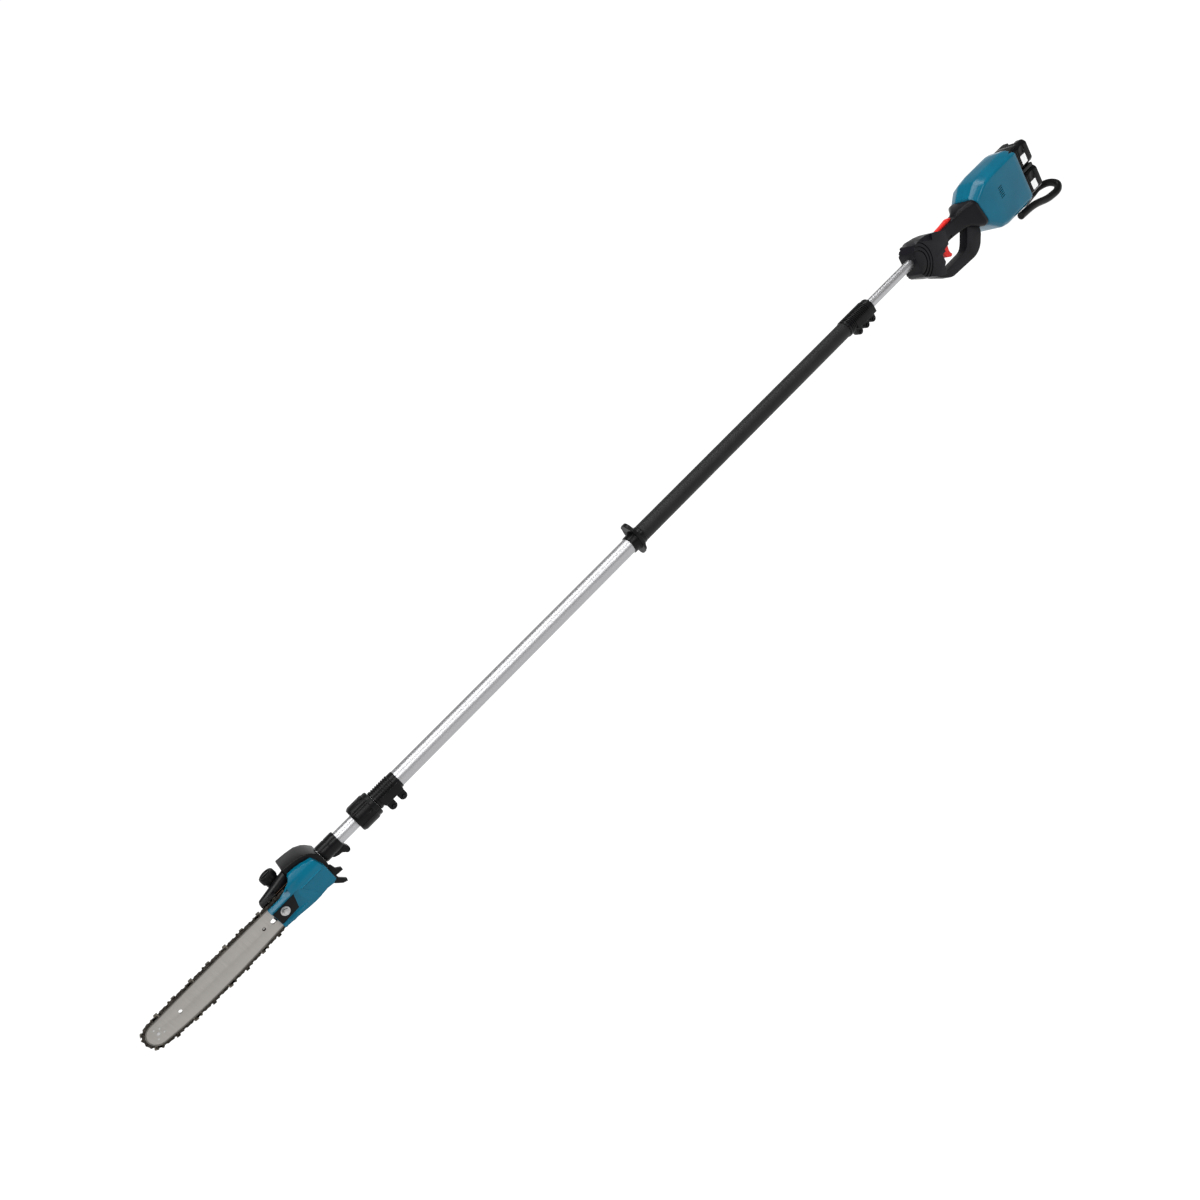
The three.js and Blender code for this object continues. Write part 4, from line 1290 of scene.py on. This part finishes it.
    def build_sleeve(self) -> None:
        """Moulds the sleeve round the tube with its rope hook, and the bright ring in front of it."""
        sleeve = Workpiece.turned("tube_sleeve", [
            (self.tube_clear, -100.6), (17, -100.6), (18.2, -98.6), (18.2, -82), (17.6, -81), (17.6, -79),
            (18.2, -78), (18.2, -62), (17.2, -59), (self.tube_clear, -59),
        ], steps=72)
        lobe = Workpiece.plate("lobe", [
            (-94, -12), (-59.5, -12), (-57.5, -18), (-55.0, -24), (-54.6, -29, 2), (-58, -34, 2),
            (-63.5, -34, 2), (-67, -29), (-71, -25), (-78, -24), (-86, -21),
        ], -7, 7).soften(1.8, 3, 25)
        bore = Workpiece.rod("bore", self.tube_clear, (-110, 0, 0), (-50, 0, 0), 72)
        slit = Workpiece.block("slit", (-96, -30, 3.2), (-86, -17.3, 4.6))
        sleeve.weld(lobe).cut(bore, slit).soften(0.3, 2, 45)
        sleeve.finish("telescope", NYLON, ["head_sleeve"])
        ring = Workpiece.turned("bright_ring", [
            (14.4, -101.5), (17.6, -101.5), (17.9, -101.2), (17.9, -100.7), (14.4, -100.7),
        ], steps=72)
        ring.finish("telescope", TURNED_STEEL)
        hook = Workpiece.plate("limb_hook", [
            (-103.6, -15.6), (-100, -19), (-98.2, -30), (-90, -37, 0.8), (-91, -42, 0.8), (-101, -41.2),
            (-106.6, -40.4), (-106, -49), (-97, -61, 0.8), (-99.2, -65.8, 0.8), (-108, -62),
            (-118.6, -50), (-121.2, -36.2),
        ], -24, -16).soften(1.0, 3)
        hook.finish("telescope", NYLON, ["branch_hook"])

    def build(self) -> None:
        """Builds the whole head."""
        self.build_case()
        self.build_tank()
        self.build_cap()
        self.build_cover()
        self.build_nut()
        self.build_sleeve()


# ---------------------------------------------------------------- telescoping pole
@dataclass
class Clamp:
    """A two-part tube clamp with ribs round it and rounded screw lugs under it."""

    name: str
    front: float
    rear: float
    radius: float
    bore: float
    screws: tuple[float, ...]
    lug_bottom: float
    screw_height: float
    nodes: tuple[str, str]
    screw_nodes: tuple[str, ...]
    rib: float = 5.0
    end_bore: float = 0.0

    def profile(self) -> list[Point]:
        """Draws the clamp's turned profile with its ribs.

        Returns:
            The profile's points.
        """
        points = [(self.bore, self.front), (self.radius - 1.4, self.front), (self.radius, self.front + 1.6)]
        x = self.front + 5.5
        while x < self.rear - 17:
            points += [(self.radius, x), (self.radius - 1.5, x + 0.7), (self.radius - 1.5, x + 2.0),
                       (self.radius, x + 2.7)]
            x += self.rib
        points += [(self.radius, self.rear - 14), (self.radius - 1.5, self.rear - 12.5),
                   (self.radius - 1.5, self.rear - 1.4), (self.radius - 2, self.rear), (self.bore, self.rear)]
        return points

    def build(self) -> None:
        """Moulds both halves and drives the screws in."""
        body = Workpiece.turned(self.name, self.profile(), steps=72)
        wide = self.radius - 0.3
        first, last = self.screws[0], self.screws[-1]
        ledge = Workpiece.block("ledge", (first - 10.5, -wide, -16), (last + 9, wide, 3.6)).soften(1.6, 3)
        body.weld(ledge)
        for x in self.screws:
            lobe = [*arc((x, self.lug_bottom + 8.5), 8.4, 180, 360, 17), (x + 8.4, -13), (x - 8.4, -13)]
            body.weld(Workpiece.plate("lug", lobe, -9, 9).soften(1.3, 3, 25))
        body.cut(Workpiece.rod("bore", self.bore, (self.front - 5, 0, 0), (self.rear + 5, 0, 0), 72))
        for x in self.screws:
            z = self.screw_height
            body.cut(Workpiece.rod("hole", 2.6, (x, -30, z), (x, 30, z), 20),
                     Workpiece.rod("sink", 4.6, (x, -30, z), (x, -8.2, z), 28))
        if self.end_bore:
            rim = self.radius - 1.5
            wall = Workpiece.turned("end_wall", [
                (self.end_bore, self.rear - 7), (rim, self.rear - 7), (rim, self.rear - 2.4),
                (self.radius - 4, self.rear), (self.end_bore, self.rear),
            ], steps=72)
            body.weld(wall)
        for node, side in zip(self.nodes, (-1, 1)):
            body.half(f"{node}_shell", side).finish("pole", NYLON, [node])
        body.discard()
        for x, node in zip(self.screws, self.screw_nodes):
            self.build_screw(x, node)

    def build_screw(self, x: float, node: str) -> None:
        """Turns one socket-head screw.

        Args:
            x: Where it is along the pole.
            node: The plain node that it stands for.
        """
        z = self.screw_height
        screw = Workpiece.turned(f"{node}_bolt", [
            (0, -11.8), (3.5, -11.8), (4, -11.2), (4, -9.3), (2.2, -9.3), (2.2, 9), (0, 9),
        ], Axis.Y, (x, 0, z), 32)
        screw.cut(Workpiece.rod("socket", 2.2, (x, -14, z), (x, -10.4, z), 6))
        screw.finish("pole", BLACKED_STEEL, [node])


@dataclass
class TelescopePole:
    """The two tubes, the locking collar, the clamps, the hand stop, the foam grip and the rear pipe."""

    inner: tuple[float, float, float, float] = (12.4, 14.0, -112.0, 1400.0)
    outer: tuple[float, float, float, float] = (16.0, 17.8, -6.0, 1591.0)
    pipe: tuple[float, float, float, float] = (9.8, 11.5, 1525.0, 1800.0)
    pads: int = 6
    first_groove: float = 46.0
    stop_front: float = 761.5
    stop_rear: float = 798.5
    foam: tuple[float, float, float, float] = (18.1, 19.15, 799.0, 1507.5)
    clamps: tuple[Clamp, ...] = (
        Clamp("front_clamp", 34.5, 94.0, 20.4, 18.1, (54.0, 80.0), -39.0, -32.5,
              ("front_clamp_left", "front_clamp_right"), ("front_clamp_screw_1", "front_clamp_screw_2")),
        Clamp("rear_clamp", 1508.0, 1599.0, 21.0, 18.1, (1541.0, 1566.0, 1590.0), -36.0, -29.5,
              ("rear_clamp_left", "rear_clamp_right"),
              ("rear_clamp_screw_1", "rear_clamp_screw_2", "rear_clamp_screw_3"), end_bore=11.8),
    )

    @staticmethod
    def tube(name: str, size: tuple[float, float, float, float], steps: int = 96) -> Workpiece:
        """Draws one tube with broken edges.

        Args:
            name: The piece's name.
            size: Its bore, radius, front and rear.
            steps: Sides of its round.

        Returns:
            The tube as a workpiece.
        """
        bore, radius, front, rear = size
        return Workpiece.turned(name, [
            (bore, front), (radius - 0.35, front), (radius, front + 0.35), (radius, rear - 0.35),
            (radius - 0.35, rear), (bore, rear),
        ], steps=steps)

    def build_collar(self) -> None:
        """Moulds the locking collar with six broad finger pads."""
        collar = Workpiece.turned("lock_collar", [
            (14.6, -15), (23.6, -15), (25.4, -14.2), (27.6, -9.5), (28, -8), (28, 22.5), (27.2, 24),
            (26.3, 24.8), (26.3, 31), (25.4, 33.2), (24, 34), (18.4, 34), (18.4, -8), (14.6, -8),
        ], steps=96)
        for i in range(self.pads):
            angle = math.radians(self.first_groove + 60 * i)
            y, z = -math.cos(angle), math.sin(angle)
            near, far = 27.6, 30.4
            groove = Workpiece.rod("groove", 3.6, (-11, y * 29.2, z * 29.2), (40, y * 29.2, z * 29.2), 20)
            shelf = math.radians(self.first_groove + 60 * i + 24)
            y2, z2 = -math.cos(shelf), math.sin(shelf)
            step = Workpiece.rod("step", 2.4, (8, y2 * far, z2 * far), (22, y2 * near, z2 * near), 14)
            collar.cut(groove, step)
        collar.soften(0.5, 2, 35)
        collar.finish("twist_collar", NYLON, ["twist_collar"])

    def build_stop(self) -> None:
        """Moulds the hand stop: a collar with an oval flange whose wings sweep forward."""
        front, rear = self.stop_front, self.stop_rear
        middle = (front + rear) / 2 + 1
        collar = Workpiece.turned("hand_stop", [
            (18.1, front), (19.2, front), (20.2, front + 1), (20.2, front + 9), (21.4, middle - 5),
            (21.4, middle + 5), (20.2, rear - 9), (20.2, rear - 1.5), (19.2, rear), (18.1, rear),
        ], steps=72)
        wing = [
            (-25.6, 6), (-25, 17), (-21, 29), (-13, 38.5), (-5, 42.8), (0, 43), (6, 42), (14, 37.5), (21, 29),
            (25, 17), (25.8, 4), (24.6, -10), (20.6, -21), (15, -27.5), (11.5, -27.8), (9.5, -32), (4, -34.8),
            (-3, -34.8), (-8, -33), (-11, -28.5), (-16, -27), (-21, -20), (-24.6, -9),
        ]
        flange = Workpiece.plate("flange", wing, middle - 6, middle + 6, Plane.CROSS).soften(2.6, 4, 30)
        dish = Workpiece.turned("dish", [
            (21, middle - 12), (40, middle - 12), (36, middle - 3.4), (23, middle - 2.4),
        ], steps=72)
        back = Workpiece.turned("back", [
            (22, middle + 12), (60, middle + 12), (60, middle + 1.5), (26, middle + 3.6),
        ], steps=72)
        flange.cut(dish, back)
        bore = Workpiece.rod("bore", 18.1, (front - 10, 0, 0), (rear + 10, 0, 0), 72)
        collar.weld(flange).cut(bore).soften(0.5, 2, 40)
        collar.finish("pole", NYLON, ["hand_stop_ring"])

    def build_foam(self) -> None:
        """Slips the foam sleeve over the tube: full along its length, rolled in at its ends."""
        bore, radius, front, rear = self.foam
        ends = [(radius - 1.0, 0.0), (radius - 0.45, 0.25), (radius - 0.12, 0.9), (radius, 2.2)]
        steps = 60
        skin = []
        for i in range(1, steps):
            x = front + 2.2 + (rear - front - 4.4) * i / steps
            skin.append((radius - 0.06 - 0.06 * math.sin(i * 1.7) * math.sin(i * 0.37), x))
        profile = [(bore, front), *[(r, front + x) for r, x in ends], *skin,
                   *[(r, rear - x) for r, x in reversed(ends)], (bore, rear)]
        sleeve = Workpiece.turned("foam_sleeve", profile, steps=72)
        sleeve.finish("pole", EVA_FOAM, ["foam_grip"], 60)

    def build(self) -> None:
        """Builds the whole pole."""
        self.tube("telescope_tube", self.inner).finish("telescope", PIPE, ["inner_tube"])
        self.tube("main_tube", self.outer, 128).finish("pole", TUBE, ["outer_tube"])
        self.tube("handle_pipe", self.pipe, 80).finish("pole", PIPE, ["rear_pipe"])
        self.build_collar()
        for clamp in self.clamps:
            clamp.build()
        self.build_stop()
        self.build_foam()


# ---------------------------------------------------------------- rear handle
@dataclass
class RearHandle:
    """The handle shells with their guard loop, the trigger and the lock-off lever."""

    block_outline: tuple[Point, ...] = (
        (1766, -22, 5), (1767, 23, 6), (1783, 36), (1806, 37), (1829, 33), (1857, 23), (1884, 9), (1878, -30),
        (1838, -58), (1834, -78, 4), (1806, -66), (1769, -42, 4), (1764, -30),
    )
    grip_outline: tuple[Point, ...] = (
        (1840, -14), (1858, 14), (1880, 9), (1975, 9), (1975, -33), (1930, -27), (1910, -25), (1890, -25),
        (1890, -31), (1866, -31),
    )
    loop_outline: tuple[Point, ...] = (
        (1800, -60), (1832, -60, 5), (1844, -77, 5),
        (1930, -76, 8), (1942, -67, 8), (1966, -33.5, 6), (1966, -20),
        (1999, -20), (2002, -67, 10), (1979, -96, 10), (1955, -106, 10), (1855, -101, 10), (1812, -72, 6),
    )
    trigger_outline: tuple[Point, ...] = (
        (1868, -12), (1884, -12), (1888.5, -21), (1891, -30), (1889.4, -38), (1888, -46), (1889.8, -53),
        (1893, -58.2), (1890, -61.4), (1886, -62), (1872, -55, 3), (1867, -40),
    )
    lever_outline: tuple[Point, ...] = (
        (1873, 8), (1880, 13, 2), (1903, 14.2), (1926, 16.5, 2), (1934, 14.5, 1), (1934, 9.6), (1926, 8.6),
        (1890, 8.2), (1880, 7.6),
    )
    pipe_clear: float = 11.8

    @staticmethod
    def section(x: float, slope: float, middle: float, half_width: float, half_height: float,
                corner: float) -> list[Vector]:
        """One rounded section of the neck.

        Args:
            x: Where the section is at its middle height.
            slope: How far it leans forward for each millimetre up.
            middle: Its middle height.
            half_width: Half of its width.
            half_height: Half of its height.
            corner: Radius of its corners.

        Returns:
            The section's points.
        """
        shape = rounded_box(half_width, middle - half_height, middle + half_height, corner, 6)
        return [Vector((x + slope * (z - middle), y, z)) for y, z in shape]

    def body(self) -> Workpiece:
        """Shapes the handle in one piece, with its slots.

        Returns:
            The handle, before it is split into shells.
        """
        front = Workpiece.plate("front", self.block_outline, -25, 25).soften(7.0, 5, 20)
        hollow = Workpiece.rod("hollow", 40, (1812, -58, 52), (1846, -58, 34), 64)
        hollow_far = Workpiece.rod("hollow", 40, (1812, 58, 52), (1846, 58, 34), 64)
        front.cut(hollow, hollow_far)
        grip = Workpiece.plate("grip", self.grip_outline, -16, 16).soften(6.0, 5, 20)
        loop = Workpiece.plate("guard", self.loop_outline, -12, 12).soften(4.0, 4, 20)
        neck = Workpiece.lofted("neck", [
            self.section(1950, 0, -10, 15, 20, 10), self.section(1968, -0.2, -11, 20, 27, 12),
            self.section(1981, -0.2, -15.5, 31, 33.5, 14), self.section(1993, -0.2, -19, 41, 38.5, 16),
            self.section(2002, -0.2, -19, 41, 38.5, 16),
        ]).soften(1.4, 3, 30)
        front.weld(grip, loop, neck)
        front.cut(
            Workpiece.rod("pipe", self.pipe_clear, (1700, 0, 0), (1801, 0, 0), 64),
            Workpiece.rod("shaft", 6.5, (1790, 0, 0), (2040, 0, 0), 32),
            Workpiece.block("trigger_slot", (1863, -7.2, -47), (1897, 7.2, -8)),
            Workpiece.block("lever_slot", (1870, -7.2, 1), (1937, 7.2, 30)),
            Workpiece.block("switch_room", (1894, -10, -21), (1936, 10, -7)),
            Workpiece.block("finger_room", (1845, -40, -64), (1906, 40, -32)).soften(3, 3),
            Workpiece.block("finger_room", (1858, -40, -72), (1906, -12, -16)).soften(3, 3),
            Workpiece.block("finger_room", (1858, 12, -72), (1906, 40, -16)).soften(3, 3),
        )
        for radius in (27.0, 36.0, 45.0):
            for near, far in ((-32, -22.4), (22.4, 32)):
                line = [(radius, near), (radius + 3, near), (radius + 3, far), (radius, far)]
                front.cut(Workpiece.turned("finger_line", line, Axis.Y, (1768, 0, -4), 64))
        return front.soften(0.6, 2, 42)

    def build(self) -> None:
        """Moulds the shells and what is pressed in them."""
        body = self.body()
        for node, side in (("grip_shell_left", -1), ("grip_shell_right", 1)):
            body.half(f"{node}_skin", side).finish("pole", HANDLE_NYLON, [node])
        body.discard()
        trigger = Workpiece.plate("red_trigger", self.trigger_outline, -6.8, 6.8).soften(1.6, 4, 20)
        trigger.finish("trigger", RED, ["trigger"])
        lever = Workpiece.plate("red_lever", self.lever_outline, -6.8, 6.8).soften(1.2, 3, 20)
        lever.finish("lock_off_lever", RED, ["lock_off_lever"])


# ---------------------------------------------------------------- power head
@dataclass
class Pack:
    """One battery pack with its blank label and release button."""

    side: str
    bottom: float
    front: float = 2112.0
    rear: float = 2230.0
    half_width: float = 37.5
    height: float = 59.0
    chamfer: float = 8.0
    button: tuple[float, float, float] = (13.0, 13.0, 8.0)
    drop: float = 9.0
    travel: float = 3.0
    label: tuple[float, float] = (2199.0, 20.0)  # its middle: X, and height above the pack's bottom

    def build(self) -> None:
        """Moulds the pack, its label and its button."""
        low, high, wide, cut = self.bottom, self.bottom + self.height, self.half_width, self.chamfer
        outline = [(cut - wide, low), (wide - cut, low), (wide, low + cut), (wide, high - cut),
                   (wide - cut, high), (cut - wide, high), (-wide, high - cut), (-wide, low + cut)]
        case = Workpiece.plate("pack_case", outline, self.front, self.rear, Plane.CROSS).soften(4.0, 4, 25)
        length, half, tall = self.button
        pocket_floor = high - self.drop - tall - self.travel - 0.6
        pocket = Workpiece.block("pocket", (self.rear - length - 1.5, -half - 0.3, pocket_floor),
                                 (self.rear + 5, half + 0.3, high + 5))
        seam = Workpiece.block("seam", (self.rear - 26, -60, low - 5), (self.rear - 24.8, 60, high + 5))
        squeeze = (self.height - 1.6) / self.height
        inner = [(y * 0.975, low + 0.8 + (z - low) * squeeze) for y, z in outline]
        core = Workpiece.plate("core", inner, self.front - 1, self.rear + 1, Plane.CROSS)
        grooves = []
        for x in (self.rear - 44.5, self.rear - 49.5, self.rear - 54.5):
            grooves.append(Workpiece.block("groove", (x, -60, low - 5), (x + 2.2, 60, high + 5)))
        dent = [(0, -wide - 5), (9, -wide - 5), (8, -wide + 1.6), (0, -wide + 2.2)]
        thumb = Workpiece.turned("thumb", dent, Axis.Y, (self.label[0] + 6, 0, low + 44), 40)
        case.cut(thumb)
        case.cut(pocket, seam.cut(core.copy("core_a")))
        for groove in grooves:
            case.cut(groove.cut(core.copy("core_b")))
        core.discard()
        case.item.name = f"battery_case_{self.side}"
        case.soften(0.4, 2, 45)
        case.finish(f"battery_{self.side}", SATIN_NYLON, [f"battery_{self.side}"])
        x, z = self.label
        outline = [(x - 10, z + low - 11, 1.5), (x + 10, z + low - 11, 1.5), (x + 10, z + low + 11, 1.5),
                   (x - 10, z + low + 11, 1.5)]
        label = Workpiece.plate(f"battery_label_{self.side}", outline, -wide - 0.05, -wide + 0.6)
        label.finish(f"battery_{self.side}", LABEL_FILM)
        self.build_button(high - self.drop)

    def build_button(self, top: float) -> None:
        """Moulds the release button.

        Args:
            top: Height of its rear edge.
        """
        length, half, tall = self.button
        front, rear = self.rear - length, self.rear - 0.6
        outline = [(front, top - tall), (rear, top - tall), (rear, top - 3), (rear - 5.4, top + 1),
                   (front, top + 1)]
        button = Workpiece.plate(f"button_{self.side}", outline, -half, half).soften(0.9, 3, 25)
        body = f"release_button_{self.side}"
        button.finish(body, GREY_BUTTON, [body])


@dataclass
class PowerHead:
    """Motor housing in two shells, the two packs and the hoop under them."""

    rear: float = 2168.0
    wall: float = 3.0
    half_width: float = 50.0
    middle: float = -19.0
    vents: tuple[int, float, float, float, float, float] = (6, 2064.0, 2080.0, -27.0, 5.0, 2.4)
    packs: tuple[Pack, ...] = (Pack("upper", -20.5), Pack("lower", -89.6))
    hoop_radius: float = 9.5
    hoop_half: float = 38.0
    hoop_rear: float = 2287.0

    def section(self, x: float, slope: float, top: float, bottom: float, half: float,
                shoulder: float) -> list[Vector]:
        """One section of the housing: an upright box with sloping shoulders and a chamfered keel.

        Args:
            x: Where the section is at the housing's middle height.
            slope: How far it leans forward for each millimetre up.
            top: Its top.
            bottom: Its bottom.
            half: Half of its width.
            shoulder: Height of the sloping shoulders.

        Returns:
            The section's eight points.
        """
        flat, keel = half * 0.46, shoulder * 0.8
        shape = [(flat, top), (-flat, top), (-half, top - shoulder), (-half, bottom + keel),
                 (keel - half, bottom), (half - keel, bottom), (half, bottom + keel), (half, top - shoulder)]
        return [Vector((x + slope * (z - self.middle), y, z)) for y, z in shape]

    def shape(self, name: str, grow: float) -> Workpiece:
        """Lofts the housing's solid shape.

        Args:
            name: The piece's name.
            grow: How far it is grown, or shrunk if negative.

        Returns:
            The shape as a workpiece.
        """
        return Workpiece.lofted(name, [
            self.section(2003, -0.2, 22 + grow, -61 - grow, 42 + grow, 14),
            self.section(2036, -0.1, 46 + grow, -91 - grow, 48 + grow, 15),
            self.section(2064, 0, 50 + grow, -95 - grow, self.half_width + grow, 14),
            self.section(2150, 0, 50 + grow, -95 - grow, self.half_width + grow, 14),
            self.section(self.rear, 0, 47 + grow, -94 - grow, 48 + grow, 13),
        ])

    def build_housing(self) -> None:
        """Moulds both shells of the housing with its vents."""
        body = self.shape("housing", 0).soften(4.5, 5, 9)
        room = self.shape("room", -self.wall)
        mouth = Workpiece.block("mouth", (2150, -41, -91), (2200, 41, 41)).soften(3, 3)
        body.cut(room.cut(Workpiece.block("front_wall", (1900, -60, -110), (2012, 60, 60))), mouth)
        body.cut(Workpiece.rod("shaft", 9, (1900, 0, 0), (2030, 0, 0), 40))
        count, front, rear, lowest, pitch, height = self.vents
        for i in range(count):
            low = lowest + i * pitch
            lean = 0.25 * i
            slot = [(front + lean, low - 1.6), (rear + lean, low), (rear + lean, low + height),
                    (front + lean, low + height - 1.6)]
            body.cut(Workpiece.plate("vent", slot, -60, 60))
        for node, side in (("housing_left", -1), ("housing_right", 1)):
            body.half(f"{node}_shell", side).finish("pole", TEAL, [node], 28)
        body.discard()
        # thin near-black sheets just inside the walls behind the vent slots: painted shade that stands in for
        # the dark inside of the housing
        vent_shade_sheets = Workpiece.block("vent_screen", (front - 2, -46.6, lowest - 4), (rear + 4, 46.6, lowest + 32))
        vent_shade_sheets.cut(Workpiece.block("inside", (front - 5, -45.8, lowest - 9), (rear + 9, 45.8, lowest + 40)))
        vent_shade_sheets.finish("pole", NYLON)

    def build_hoop(self) -> None:
        """Bends the rear hoop under the packs."""
        half, rear = self.hoop_half, self.hoop_rear
        arm = [(2112, half, -105), (2165, half, -109.5), (2236, half, -127.2), (2268, half, -125.4),
               (rear - 5, half - 13, -117.4)]
        far = [(x, y, z) for x, y, z in reversed(arm)]
        near = [(x, -y, z) for x, y, z in arm]
        hoop = Workpiece.bent_bar("guard_hoop", [*near, *far], self.hoop_radius - 0.15)
        hoop.finish("pole", NYLON, ["rear_hoop"], 60)

    def build(self) -> None:
        """Builds the whole power head."""
        self.build_housing()
        for pack in self.packs:
            pack.build()
        divider = Workpiece.block("pack_divider", (2110.5, -35.5, -29.9), (2222, 35.5, -21.2)).soften(1.2, 3)
        divider.finish("pole", SATIN_NYLON)
        self.build_hoop()


# ---------------------------------------------------------------- studio
@dataclass
class Lamp:
    """A soft rectangular light that the camera doesn't see."""

    name: str
    place: Point  # metres, in the frame
    aim: Point
    size: tuple[float, float]
    power: float

    def build(self) -> None:
        """Hangs the light and turns it to what it lights."""
        turn = (Vector(self.aim) - Vector(self.place)).to_track_quat("-Z", "Y").to_euler()
        deselect()
        bpy.ops.object.light_add(type="AREA", location=self.place, rotation=turn)
        lamp = bpy.context.active_object
        lamp.name = self.name
        lamp.data.shape = "RECTANGLE"
        lamp.data.size, lamp.data.size_y = self.size
        lamp.data.energy = self.power
        lamp.visible_camera = False


@dataclass
class Studio:
    """Camera, soft lights and pale floor round the saw."""

    eye: Point = (0.0, -1874.2, 874.0)
    aim: Point = (637.5, 0.0, -40.6)
    roll: float = -37.28
    lens: float = 31.5
    floor_radius: float = 60.0
    floor_drop: float = 0.002
    backdrop: float = 34.0  # where the middle of the sloping backdrop is, behind the saw
    backdrop_slope: float = 45.0
    paper: str = "5c5c5c"
    floor_glow: float = 1.0  # the floor is a light table: it shows no horizon and next to no shadow
    glow: float = 0.3
    lamps: list[Lamp] = field(default_factory=lambda: [
        Lamp("overhead_strip", (-0.1, -0.1, 2.0), (-0.1, -0.1, 0.0), (4.6, 0.6), 62.0),
        Lamp("front_strip", (-0.2, -2.3, 2.2), (-0.2, 0.0, 0.1), (4.6, 0.8), 80.0),
    ])

    def build(self) -> None:
        """Sets the whole studio up."""
        self.build_camera()
        self.build_floor()
        self.build_sky()
        for lamp in self.lamps:
            lamp.build()
        bpy.context.scene.view_settings.view_transform = "Standard"

    def build_camera(self) -> None:
        """Puts the camera at its place, aimed and rolled."""
        eye, aim = DATUM @ Vector(self.eye), DATUM @ Vector(self.aim)
        turn = (aim - eye).to_track_quat("-Z", "Y").to_matrix()
        turn = turn @ Matrix.Rotation(math.radians(self.roll), 3, "Z")
        deselect()
        bpy.ops.object.camera_add(location=eye, rotation=turn.to_euler())
        camera = bpy.context.active_object
        camera.name = "main_camera"
        camera.data.lens = self.lens
        camera.data.clip_end = 200.0
        bpy.context.scene.camera = camera

    def build_floor(self) -> None:
        """Lays a pale round floor under the saw."""
        deselect()
        bpy.ops.mesh.primitive_circle_add(
            vertices=96, radius=self.floor_radius, fill_type="NGON", location=(0, 0, -self.floor_drop)
        )
        floor = bpy.context.active_object
        floor.name = "pale_floor"
        bpy.ops.mesh.primitive_plane_add(size=2 * self.floor_radius, location=(0, self.backdrop, 0),
                                         rotation=(math.radians(self.backdrop_slope), 0, 0))
        backdrop = bpy.context.active_object
        backdrop.name = "pale_backdrop"
        paper = bpy.data.materials.new("floor_paper")
        paper.use_nodes = True
        shader = paper.node_tree.nodes["Principled BSDF"]
        shader.inputs["Base Color"].default_value = srgb(self.paper)
        shader.inputs["Roughness"].default_value = 0.9
        shader.inputs["Specular IOR Level"].default_value = 0.0
        shader.inputs["Emission Color"].default_value = srgb("ffffff")
        shader.inputs["Emission Strength"].default_value = self.floor_glow
        for sheet in (floor, backdrop):
            sheet.data.materials.append(paper)

    def build_sky(self) -> None:
        """Fills the room with a dim, even light."""
        room = bpy.data.worlds.new("pale_room")
        room.use_nodes = True
        background = room.node_tree.nodes["Background"]
        background.inputs["Color"].default_value = srgb("ffffff")
        background.inputs["Strength"].default_value = self.glow
        bpy.context.scene.world = room


# ---------------------------------------------------------------- all together
def dress_hidden_nodes() -> None:
    """Gives every plain node that still shows a finish: the inner parts listed here their own, every other
    one turned steel.
    """
    replaced = {name for name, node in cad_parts.items() if node.hide_render}
    inner = {
        "slide_bush": GREY_NYLON, "tail_bush": GREY_NYLON, "shaft_bush": BRONZE, "gear_cover": GREY_NYLON,
        "pipe_adapter": GREY_NYLON, "trigger_switch": GREY_NYLON, "motor_stator": COPPER,
        "cooling_fan": GREY_NYLON, "motor_controller": GREY_NYLON, "battery_dock": GREY_NYLON,
    }
    for name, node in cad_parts.items():
        if name in replaced:
            continue
        node.data.materials.clear()
        node.data.materials.append(inner.get(name, TURNED_STEEL).material())


def main() -> None:
    """Builds the saw, its finishes and the studio, in order."""
    logging.basicConfig(level=logging.INFO, format="%(message)s")
    for part in (BarAndChain(), SawHead(), TelescopePole(), RearHandle(), PowerHead()):
        part.build()
        LOG.info("%s is built", type(part).__name__)
    dress_hidden_nodes()
    Studio().build()


if __name__ == "__main__":
    main()
